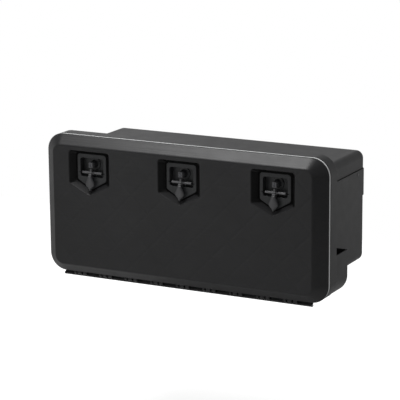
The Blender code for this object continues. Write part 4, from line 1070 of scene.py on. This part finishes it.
def rib_family(side):
    """Parallel ribs that lean to one side."""
    spacing = RIB_PITCH * math.sqrt(2)
    count = 2 * math.ceil((HALF_WIDTH + FRONT_HEIGHT) / spacing)
    front = -DOOR_DEPTH + DOOR_WALL - RIB_BURIED
    rib = block((-RIB_THICKNESS / 2, front, -FRONT_HEIGHT),
                (RIB_THICKNESS / 2, front + RIB_HEIGHT + RIB_BURIED, FRONT_HEIGHT))
    piece = to_object("diamond_ribs", rotated(rib, 45 * side, "Y"))
    return repeat(piece, door_plastic, count, spacing,
                  (-spacing * (count - 1) / 2, 0, FRONT_HEIGHT / 2))


def door_ribs():
    """The lattice behind the face, trimmed and cut round the pockets."""
    lattice, other = rib_family(1), rib_family(-1)
    shape = bmesh.new()
    shape.from_mesh(other.data)
    bpy.data.objects.remove(other)
    combine(lattice, [shape], "UNION")
    flat = door_outline([inset + RIB_MARGIN for inset in FACE_INSETS], FACE_CORNER)
    combine(lattice, [prism(flat, -DOOR_DEPTH, -SEAM_HALF)], "INTERSECT")
    half = DOOR_WALL / 2
    pocket = [(pocket_outline(0, half), FACE - OVERRUN), (pocket_outline(0, half), FACE),
              (pocket_outline(1, half), FLOOR + half)]
    pockets = [loft(placed(pocket, pivot)) for pivot in lock_pivots.values()]
    return combine(lattice, pockets, "DIFFERENCE")


diamond_ribs = finish_piece(door_ribs(), "door", tub_plastic)
print("lattice:", len(diamond_ribs.data.polygons), "faces")

# %% Ribs of the back wall
REAR_RIB_COUNT = 5
REAR_RIB_HALF = 11 * MM
REAR_RIB_MARGIN = 34 * MM
REAR_RIB_PROUD = 2.2 * MM
REAR_RIB_EDGE = 1.5 * MM


def rear_rib_outline(inset):
    """Front of a flat rib between the floor and the top of the back wall."""
    return box_outline(REAR_RIB_HALF - inset, BODY_BOTTOM + REAR_RIB_MARGIN + inset,
                       BODY_TOP - REAR_RIB_MARGIN - inset, REAR_RIB_HALF * 0.9, 6)


def make_rear_ribs():
    """Flat ribs with round edges that stand on the back wall."""
    sections = [(rear_rib_outline(0), BODY_BACK - 1 * MM)]
    sections += [(rear_rib_outline(inset), BODY_BACK + REAR_RIB_PROUD - below)
                 for below, inset in round_edge(REAR_RIB_EDGE)]
    pitch = 2 * (HALF_WIDTH - BODY_SIDE_STEP) / (REAR_RIB_COUNT + 1)
    return repeat(to_object("rear_ribs", loft(sections)), tub_plastic, REAR_RIB_COUNT, pitch,
                  (-pitch * (REAR_RIB_COUNT - 1) / 2, 0, 0))


rear_ribs = finish_piece(make_rear_ribs(), "box", tub_plastic)
print("rear ribs:", len(rear_ribs.data.polygons), "faces")

# %% [markdown]
# ## The locks
# Each lock is a shield plate with a finger window. The plate is smaller than
# its pocket, and a ring of near-black foam fills the groove round it as
# painted shade for that deep groove. Behind the window is a cup, and on its
# floor stands a round tower with the key body.
# The housing is a loft like the door: the plate's front runs into the
# window's edge and down the wall of the cup without a seam. Places are given
# about the lever's pivot, so that one description serves all three locks.

# %% Lock housing
PLATE_EDGE = 1.2 * MM
CUP_FLOOR = 20.5 * MM
CUP_BACK = 23 * MM
CUP_EDGE = 1.5 * MM
CUP_DRAFT = 0.5 * MM
BOSS_HEIGHT = 7 * MM
KEY_ABOVE = 26.3 * MM
KEY_BORE = 7.3 * MM
TOWER_FRONT = 1 * MM
PIN_RADIUS = 2 * MM
ARM_WIDTH = 6 * MM
ARM_HEIGHT = 5 * MM
ARM_REACH = 35 * MM
ARM_ROOM = 1 * MM
SHADE_RING_CROWN = 0.5 * MM
LEVER_SWING = math.radians(30)


def tower():
    """Turned tower on the cup's floor, with fillets at its foot."""
    root = CUP_FLOOR + 1 * MM
    profile = [(0, root), (20 * MM, root), mm(20, 17.8)]
    profile += bend(mm(20, 17.8), mm(20, 17), mm(19.2, 17), 4)
    profile += bend(mm(14.5, 16.6), mm(12.6, 16.5), mm(12.4, 14.5), 5)
    profile += bend(mm(9.9, 2), mm(9.7, 1), mm(8.9, 1), 4)
    shape = turned(profile + [(0, TOWER_FRONT)])
    bmesh.ops.translate(shape, vec=(0, 0, KEY_ABOVE), verts=shape.verts)
    return shape


def housing_shape():
    """Plate and cup as one closed skin."""
    shape = bmesh.new()
    front = edge_sections(plate_outline, PLATE_FRONT, PLATE_EDGE)
    plate, plate_back = skin(shape, front + [(plate_outline(0), PLATE_BACK)])
    lip = edge_sections(window_outline, PLATE_FRONT, PLATE_EDGE)
    window, floor = skin(shape, lip + [(window_outline(-CUP_DRAFT - inset), CUP_FLOOR - above)
                                       for above, inset in round_edge(CUP_EDGE)])
    cup, cup_back = skin(shape, [(window_outline(CUP_WALL), PLATE_BACK),
                                 (window_outline(CUP_WALL), CUP_BACK)])
    fill(shape, [plate, window])
    fill(shape, [plate_back, cup])
    shape.faces.new(floor)
    shape.faces.new(cup_back)
    return shape


def arm_slot():
    """Cutter for the slot that the lever's arm moves in."""
    drop = math.tan(LEVER_SWING)
    side = ARM_WIDTH / 2 + ARM_ROOM
    low = -(CUP_BACK * drop + ARM_HEIGHT + ARM_ROOM / 2)
    return block((-side, (-WINDOW[1] - ARM_HEIGHT) / drop, low),
                 (side, CUP_BACK + OVERRUN, ARM_HEIGHT / 2 + CUP_WALL))


def pin_bore(half):
    """Cutter for the bore of the pivot pin."""
    return prism(circle(PIN_RADIUS + GAP), -half - OVERRUN, half + OVERRUN, "X")


def make_housing(name):
    """Plate, cup, tower and bosses, bored for the key, the pin and the arm."""
    housing = to_object(f"{name}_housing", housing_shape())
    bosses = [prism(circle(BOSS_RADIUS, place), PLATE_BACK - 0.5 * MM, PLATE_BACK + BOSS_HEIGHT)
              for place in BOSS_PLACES]
    combine(housing, [tower()] + bosses, "UNION")
    bore = prism(circle(KEY_BORE, (0, KEY_ABOVE), 48), TOWER_FRONT - OVERRUN, CUP_BACK + OVERRUN)
    return combine(housing, [bore, pin_bore(WINDOW[0] + CUP_WALL), arm_slot()], "DIFFERENCE")


def make_painted_shade_ring(name):
    """A ring of near-black rubber between the plate's edge and the wall of its pocket: painted shade
    for that deep groove.
    """
    inner, outer = plate_outline(-GAP), pocket_outline(1, -GAP)
    crown = [first.lerp(second, 0.5) for first, second in zip(inner, outer)]
    back, front = FLOOR - GAP / 3, PLATE_BACK - PLATE_EDGE
    ring = loft([(inner, back), (inner, front), (crown, front - SHADE_RING_CROWN),
                 (outer, front), (outer, back)], is_ring=True)
    return to_object(f"{name}_groove_shade_ring", ring)


for name, pivot in lock_pivots.items():
    housing = make_housing(name)
    finish_piece(housing, "door", lock_plastic, pivot, [f"{name}_lock_housing"])
    finish_piece(make_painted_shade_ring(name), "door", groove_shade_foam, pivot)
print("faces of a housing:", len(housing.data.polygons))

# %% [markdown]
# The key turns a round plug in a square-faced body, both die-cast in zinc.
# The body is stoved in dark grey enamel, which is lighter than the nylon
# round it, and the plug is blackened, with a narrow slot.

# %% Key body and plug
KEY_FRONT = -10 * MM
KEY_SEAT = 0.7 * MM
KEY_EDGE = 1.2 * MM
SHANK_RADIUS = 7 * MM
PLUG_RADIUS = 5.2 * MM
PLUG_FRONT = KEY_FRONT + 0.4 * MM
PLUG_EDGE = 0.5 * MM
SLOT_DEPTH = 8 * MM


def key_outline(inset):
    """Square face of the key body, drawn in by an inset."""
    half, height, corner = [value - inset for value in mm(7.5, 8.3, 2.4)]
    return box_outline(half, -height, height, corner, 6)


def make_key_body(name):
    """Square face with round corners on a round shank."""
    sections = edge_sections(key_outline, KEY_FRONT, KEY_EDGE)
    body = to_object(f"{name}_key_face", loft(sections + [(key_outline(0), KEY_SEAT)]))
    combine(body, [prism(circle(SHANK_RADIUS, steps=48), -0.5 * MM, CUP_FLOOR)], "UNION")
    bore = circle(PLUG_RADIUS + GAP, steps=48)
    return combine(body, [prism(bore, KEY_FRONT - OVERRUN, CUP_FLOOR + OVERRUN)], "DIFFERENCE")


def make_key_plug(name):
    """Turned plug with a rounded key slot."""
    profile = [(0, CUP_FLOOR), (PLUG_RADIUS, CUP_FLOOR), (PLUG_RADIUS, KEY_FRONT + 1 * MM),
               (PLUG_RADIUS - PLUG_EDGE, PLUG_FRONT), (0, PLUG_FRONT)]
    plug = to_object(f"{name}_key_barrel", turned(profile, 40))
    slot = box_outline(*mm(0.8, -3.6, 3.6, 0.7), 4)
    combine(plug, [prism(slot, KEY_FRONT - OVERRUN, KEY_FRONT + SLOT_DEPTH)], "DIFFERENCE")
    return soften(plug, FINE_EDGE, 1)


for name, pivot in lock_pivots.items():
    place = pivot + Vector((0, 0, KEY_ABOVE))
    finish_piece(make_key_body(name), "door", key_enamel, place, [f"{name}_key_body"])
    finish_piece(make_key_plug(name), f"{name}_key", black_steel, place, [f"{name}_key_plug"])

# %% [markdown]
# The pull lever is one nylon moulding. A round bar turns on the pivot pin, a
# spade-shaped leaf below it takes the finger, a neck above it meets the key
# body, and an arm behind it drives the bolt. Parts are joined by Booleans and
# their edges rounded by 0.5 mm, as moulded edges are.

# %% Lever
BAR_RADIUS = 4.1 * MM
BAR_HALF = 35 * MM
LEAF_FRONT = -19.5 * MM
LEAF_TOP = -7.6 * MM
LEAF_LENGTH = 48.4 * MM
LEAF_HALF_WIDTH = 15.2 * MM
LEAF_DEPTH = 8 * MM
LEAF_CROWN = 3 * MM
LEAF_POINT = 0.1
LEAF_SHARES = (0.42, 0.48, 0.58, 0.70, 0.86, 0.98, 1.00, 0.84, 0.50, 0.26, 0.15)
LEAF_STEPS = 4


def smooth_share(along):
    """Width of the leaf at a place along it, on a soft curve."""
    index = min(int(along), len(LEAF_SHARES) - 2)
    before = LEAF_SHARES[max(index - 1, 0)]
    start, end = LEAF_SHARES[index], LEAF_SHARES[index + 1]
    after = LEAF_SHARES[min(index + 2, len(LEAF_SHARES) - 1)]
    part = along - index
    return start + part / 2 * (end - before + part * (
        2 * before - 5 * start + 4 * end - after + part * (3 * (start - end) + after - before)))


def leaf_outline(inset, fullness=1):
    """Leaf of the lever: narrow above, full in the middle, pointed below."""
    count = (len(LEAF_SHARES) - 1) * LEAF_STEPS
    right = [Vector((LEAF_HALF_WIDTH * smooth_share(step / LEAF_STEPS) * fullness,
                     LEAF_TOP - inset - (LEAF_LENGTH - 2 * inset) * step / count))
             for step in range(count + 1)]
    return right[::-1] + mirrored(right)


def bar_profile():
    """Profile of a bar with domed ends, along the Y axis."""
    end = [(BAR_RADIUS - inset, setback - BAR_HALF) for inset, setback in round_edge(1 * MM)]
    return [(0, -BAR_HALF)] + end + [(r, -d) for r, d in reversed(end)] + [(0, BAR_HALF)]


def make_lever(name):
    """Bar, leaf, root, neck and arm joined, with the bore of the pin."""
    lever = to_object(f"{name}_pull_lever", rotated(turned(bar_profile(), 32), 90, "Z"))
    crown = [(leaf_outline(LEAF_CROWN * (1 - sine), LEAF_POINT + (1 - LEAF_POINT) * sine),
              LEAF_FRONT + LEAF_CROWN * (1 - cosine)) for sine, cosine in quarter(8)]
    leaf = loft(crown + [(leaf_outline(0), LEAF_FRONT + LEAF_DEPTH)])
    root = block((-4.5 * MM, LEAF_FRONT + 3.5 * MM, -12 * MM), (4.5 * MM, -GAP, -1.5 * MM))
    neck = block(mm(-3.2, -9.5, 1.1), mm(3.2, -5, 13.9))
    saddle = block(mm(-2.4, -9.4, 1.2), (2.4 * MM, -GAP, 3.4 * MM))
    arm = block((-ARM_WIDTH / 2, 0, -ARM_HEIGHT / 2), (ARM_WIDTH / 2, ARM_REACH, ARM_HEIGHT / 2))
    combine(lever, [leaf, root, neck, saddle, arm], "UNION")
    return soften(combine(lever, [pin_bore(BAR_HALF)], "DIFFERENCE"), MOULD_EDGE)


for name, pivot in lock_pivots.items():
    lever = make_lever(name)
    finish_piece(lever, f"{name}_lever_body", lever_plastic, pivot, [f"{name}_lever"])
print("faces of a lever:", len(lever.data.polygons))

# %% [markdown]
# Behind each cup, pressed steel does the work: a guide with two straps, a
# bolt that hooks behind a keeper, and a spring. The solids have their shapes
# already. A copy is merged, its flats are made whole again and its edges get
# the small radius that a press leaves, which catches the light.

# %% Pressed steel parts
PRESS_EDGE = 0.3 * MM
SPRING_RADIUS = 3.9 * MM
SPRING_WIRE = 0.6 * MM
SPRING_TURNS = 6
TURN_STEPS = 20
FLAT_TURNS = 0.8
FLAT_RISE = 0.08


def pressed_copy(node, name):
    """A copy of a solid with small round edges."""
    shape = bmesh.new()
    shape.from_mesh(frame["nodes"][node].data)
    bmesh.ops.remove_doubles(shape, verts=shape.verts, dist=GAP / 30)
    bmesh.ops.dissolve_limit(shape, angle_limit=math.radians(1), verts=shape.verts,
                             edges=shape.edges)
    return soften(to_object(name, shape, outwards=False), PRESS_EDGE)


def helix(node):
    """A spring of round wire between the ends of a solid's box."""
    low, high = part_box(node)
    middle = (low + high) / 2
    curve = bpy.data.curves.new(node, "CURVE")
    curve.dimensions = "3D"
    curve.bevel_depth = SPRING_WIRE
    curve.bevel_resolution = 3
    curve.use_fill_caps = True
    spline = curve.splines.new("POLY")
    spline.points.add(SPRING_TURNS * TURN_STEPS)
    for index, point in enumerate(spline.points):
        angle = math.tau * index / TURN_STEPS
        rise = index / (SPRING_TURNS * TURN_STEPS)
        # the end turns lie flat, as ground springs do
        eased = (rise * SPRING_TURNS - FLAT_TURNS) / (SPRING_TURNS - 2 * FLAT_TURNS)
        share = FLAT_RISE * rise + (1 - FLAT_RISE) * min(max(eased, 0), 1)
        height = low.z + SPRING_WIRE + (high.z - low.z - 2 * SPRING_WIRE) * share
        point.co = (middle.x + SPRING_RADIUS * math.cos(angle),
                    middle.y + SPRING_RADIUS * math.sin(angle), height, 1)
    source = new_object(node, curve)
    graph = bpy.context.evaluated_depsgraph_get()
    mesh = bpy.data.meshes.new_from_object(source.evaluated_get(graph))
    bpy.data.objects.remove(source)
    return new_object(f"{node}_wire", mesh)


for name in lock_pivots:
    for node, piece, body, steel in (
            (f"{name}_latch_guide", f"{name}_guide_plate", "door", zinc_steel),
            (f"{name}_latch_bolt", f"{name}_bolt", f"{name}_latch", zinc_steel),
            (f"{name}_keeper", f"{name}_keeper_angle", "box", zinc_steel),
            (f"{name}_pivot_pin", f"{name}_lever_pin", "door", oxide_steel)):
        finish_piece(pressed_copy(node, piece), body, steel, (0, 0, 0), [node])
    spring = helix(f"{name}_return_spring")
    finish_piece(spring, "door", spring_wire, (0, 0, 0), [f"{name}_return_spring"])
    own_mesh(spring)

# %% [markdown]
# ## Fasteners
# Flanged nuts on the bosses hold the lock plates from inside the door, round
# rivets hold the guides, and screws with washers hold the keepers. They are
# too small for the solids, but an open door without them would look unreal.

# %% Nuts, rivets and screws
NUT_PROFILE = ((0, 0), (6, 0), (6.2, 0.5), (6, 1), (4.6, 1.8), (0, 1.8))
SCREW_PROFILE = ((0, 0), (5, 0), (5, 0.8), (3.8, 0.8), (3.8, 2), (3, 2.8), (0, 3))
RIVET_RADIUS = 2.6 * MM
RIVET_HEIGHT = 1.3 * MM
RIVET_START = mm(-18, 24.8, -48)
RIVET_ACROSS = 36 * MM
RIVET_RISE = 114 * MM
NUT_SEAT = PLATE_BACK + BOSS_HEIGHT - 2 * MM
NUT_RISE = BOSS_PLACES[1][1] - BOSS_PLACES[0][1]
SCREW_START = mm(-17, 0, 0)
SCREW_ACROSS = 34 * MM


def make_nut(name):
    """A flanged nut with a stud end, facing backwards from its seat."""
    nut = to_object(name, turned([mm(*point) for point in NUT_PROFILE], 32))
    combine(nut, [prism(circle(4.4 * MM, steps=6), *mm(1.2, 5))], "UNION")
    combine(nut, [prism(circle(2 * MM), *mm(1.4, 6))], "UNION")
    return soften(nut, 0.25 * MM)


def make_rivet(name):
    """A domed head that faces backwards."""
    profile = [(0, -0.2 * MM), (RIVET_RADIUS, -0.2 * MM)]
    profile += [(RIVET_RADIUS * cosine, RIVET_HEIGHT * sine) for sine, cosine in quarter(6)[:-1]]
    return to_object(name, turned(profile + [(0, RIVET_HEIGHT)], 24))


def make_screw(name):
    """A pan head with a cross recess on a washer, facing backwards."""
    screw = to_object(name, turned([mm(*point) for point in SCREW_PROFILE], 32))
    combine(screw, [block(mm(-2.2, 1.6, -0.5), mm(2.2, 4, 0.5))], "DIFFERENCE")
    combine(screw, [block(mm(-0.49, 1.6, -2.2), mm(0.49, 4, 2.2))], "DIFFERENCE")
    return soften(screw, FINE_EDGE, 1)


def fasteners(name, pivot):
    """Nuts and rivets of one lock, and the screws of its keeper."""
    across, height = BOSS_PLACES[0]
    nuts = repeat(make_nut(f"{name}_plate_nuts"), zinc_steel, 2, -2 * across,
                  (across, NUT_SEAT, height), 2, NUT_RISE, 1.0, 3)
    finish_piece(nuts, "door", zinc_steel, pivot)
    rivets = repeat(make_rivet(f"{name}_guide_rivets"), zinc_steel, 2, RIVET_ACROSS,
                    RIVET_START, 2, RIVET_RISE)
    finish_piece(rivets, "door", zinc_steel, pivot)
    screws = repeat(make_screw(f"{name}_keeper_screws"), zinc_steel, 2, SCREW_ACROSS,
                    SCREW_START, spin=1.5, seed=7)
    low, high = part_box(f"{name}_keeper")
    place = ((low.x + high.x) / 2, low.y + 2 * MM, low.z + 6 * MM)
    return finish_piece(screws, "box", zinc_steel, place)


for name, pivot in lock_pivots.items():
    screws = fasteners(name, pivot)
print("faces of a pair of screws:", len(screws.data.polygons))

# %% [markdown]
# ## Room, light and camera
# The room is a pale floor below the door's swing and a white surround. Rays
# from the camera and through glass see white. Black plastic mirrors what is
# round it, so rays from gloss see studio walls that are bright on one side
# and dim on the other, and the plain light stays at a studio level. Three
# soft boxes add the gradients that a photographer's lamps would give.

# %% Surround
AMBIENT = 0.40
BRIGHT_SIDE = (-0.45, 0.90, 0)
DIM_WALL = 0.06
BRIGHT_WALL = 0.64
ALL_ROUND = 0.40
CEILING_DIM = 0.30


def seen_directly(tree):
    """1 for rays from the camera or through glass."""
    path = add_node(tree, "ShaderNodeLightPath").outputs
    return math_node(tree, "MAXIMUM", path["Is Camera Ray"], path["Is Transmission Ray"])


def studio_walls(tree):
    """Bright behind and to the left, dim in front, to the right and above."""
    look = add_node(tree, "ShaderNodeTexCoord").outputs["Generated"]
    side = add_node(tree, "ShaderNodeVectorMath", {"operation": "DOT_PRODUCT"}, {
        0: look, 1: BRIGHT_SIDE}).outputs["Value"]
    up = parts_of(tree, look)["Z"]
    walls = math_node(tree, "MAXIMUM", fade(tree, side, -0.85, 0.90, DIM_WALL, BRIGHT_WALL),
                      fade(tree, up, 0.05, 0.25, 0.0, ALL_ROUND))
    return math_node(tree, "MULTIPLY", walls, fade(tree, up, 0.25, 0.55, 1.0, CEILING_DIM))


def make_surround():
    """White where it is seen, studio walls in gloss, and an even light."""
    world = bpy.data.worlds.new("white_surround")
    world.use_nodes = True
    tree = world.node_tree
    tree.nodes.clear()
    level = add_node(tree, "ShaderNodeMix", {"data_type": "FLOAT"}, {
        0: add_node(tree, "ShaderNodeLightPath").outputs["Is Glossy Ray"],
        2: AMBIENT, 3: studio_walls(tree)}).outputs[0]
    level = add_node(tree, "ShaderNodeMix", {"data_type": "FLOAT"}, {
        0: seen_directly(tree), 2: level, 3: 1.0}).outputs[0]
    light = add_node(tree, "ShaderNodeBackground", inputs={
        "Color": linear("#ffffff"), "Strength": level})
    add_node(tree, "ShaderNodeOutputWorld", inputs={"Surface": light.outputs["Background"]})
    bpy.context.scene.world = world


make_surround()
print("surround at", AMBIENT, "of the white that is seen")

# %% Floor and lamps
FLOOR_DROP = 0.50
FLOOR_LOW = (-3.0, -4.2)
FLOOR_HIGH = (2.4, 2.4)
LAMP_TARGET = Vector((0, -0.2, 0.2))
LAMPS = (("overhead_box", (-0.85, -0.65, 3.0), (1.8, 1.1), 12.5),
         ("back_left_box", (-2.1, 2.4, 1.2), (1.2, 1.0), 0.25),
         ("front_fill_box", (-1.9, -3.6, -0.3), (2.0, 1.2), 1.6))


def make_floor():
    """A pale floor that is white to the camera but keeps a faint shadow."""
    material, tree = new_material("pale_studio_floor")
    matt = add_node(tree, "ShaderNodeBsdfDiffuse", inputs={"Color": linear("#cccccc")})
    glow = add_node(tree, "ShaderNodeEmission", inputs={
        "Color": linear("#ffffff"), "Strength": 0.75})
    both = add_node(tree, "ShaderNodeAddShader", inputs={
        0: matt.outputs["BSDF"], 1: glow.outputs["Emission"]})
    clear = add_node(tree, "ShaderNodeBsdfTransparent")
    lit = add_node(tree, "ShaderNodeMixShader", inputs={
        "Fac": seen_directly(tree), 1: matt.outputs["BSDF"], 2: both.outputs["Shader"]})
    top = add_node(tree, "ShaderNodeMixShader", inputs={
        "Fac": add_node(tree, "ShaderNodeNewGeometry").outputs["Backfacing"],
        1: lit.outputs["Shader"], 2: clear.outputs["BSDF"]})
    add_node(tree, "ShaderNodeOutputMaterial", inputs={"Surface": top.outputs["Shader"]})
    shape = bmesh.new()
    (left, front), (right, back) = FLOOR_LOW, FLOOR_HIGH
    height = tub_low.z - FLOOR_DROP
    shape.faces.new([shape.verts.new((*place, height)) for place in (
        (left, front), (right, front), (right, back), (left, back))])
    floor = to_object("studio_floor", shape, outwards=False)
    floor.data.materials.append(material)


def add_lamp(name, place, size, radiance):
    """A rectangular soft box that points at the tool box."""
    lamp = bpy.data.lights.new(name, "AREA")
    lamp.shape = "RECTANGLE"
    lamp.size, lamp.size_y = size
    lamp.energy = radiance * math.pi * size[0] * size[1]
    found = new_object(name, lamp)
    found.location = place
    found.rotation_euler = (LAMP_TARGET - Vector(place)).to_track_quat("-Z", "Y").to_euler()


make_floor()
for lamp in LAMPS:
    add_lamp(*lamp)
print("floor", FLOOR_DROP, "m below the tub,", len(LAMPS), "soft boxes")

# %% Camera
# The pose was fitted to the edges of the real box in its picture, in the front frame.
CAMERA_YAW = math.radians(27.61)
CAMERA_PITCH = math.radians(13.38)
CAMERA_ROLL = math.radians(-0.48)
CAMERA_PLACE = Vector((2.8486, -5.3448, 1.7198))
FOCAL_PIXELS = 1967.8
FRAME_PIXELS = 400


def make_camera():
    """A camera that looks along the fitted direction."""
    camera = bpy.data.cameras.new("camera")
    camera.sensor_width = 36
    camera.lens = FOCAL_PIXELS / FRAME_PIXELS * camera.sensor_width
    found = new_object("camera", camera)
    forward = Vector((-math.sin(CAMERA_YAW) * math.cos(CAMERA_PITCH),
                      math.cos(CAMERA_YAW) * math.cos(CAMERA_PITCH), -math.sin(CAMERA_PITCH)))
    right = Vector((math.cos(CAMERA_YAW), math.sin(CAMERA_YAW), 0))
    up = right.cross(forward)
    cosine, sine = math.cos(CAMERA_ROLL), math.sin(CAMERA_ROLL)
    across, above = cosine * right + sine * up, cosine * up - sine * right
    turn = Matrix((across, above, -forward)).transposed()
    found.matrix_world = Matrix.Translation(CAMERA_PLACE + ORIGIN) @ turn.to_4x4()
    bpy.context.scene.camera = found


make_camera()
bpy.context.scene.view_settings.view_transform = "Standard"
print("camera at", [round(value, 3) for value in bpy.context.scene.camera.location])
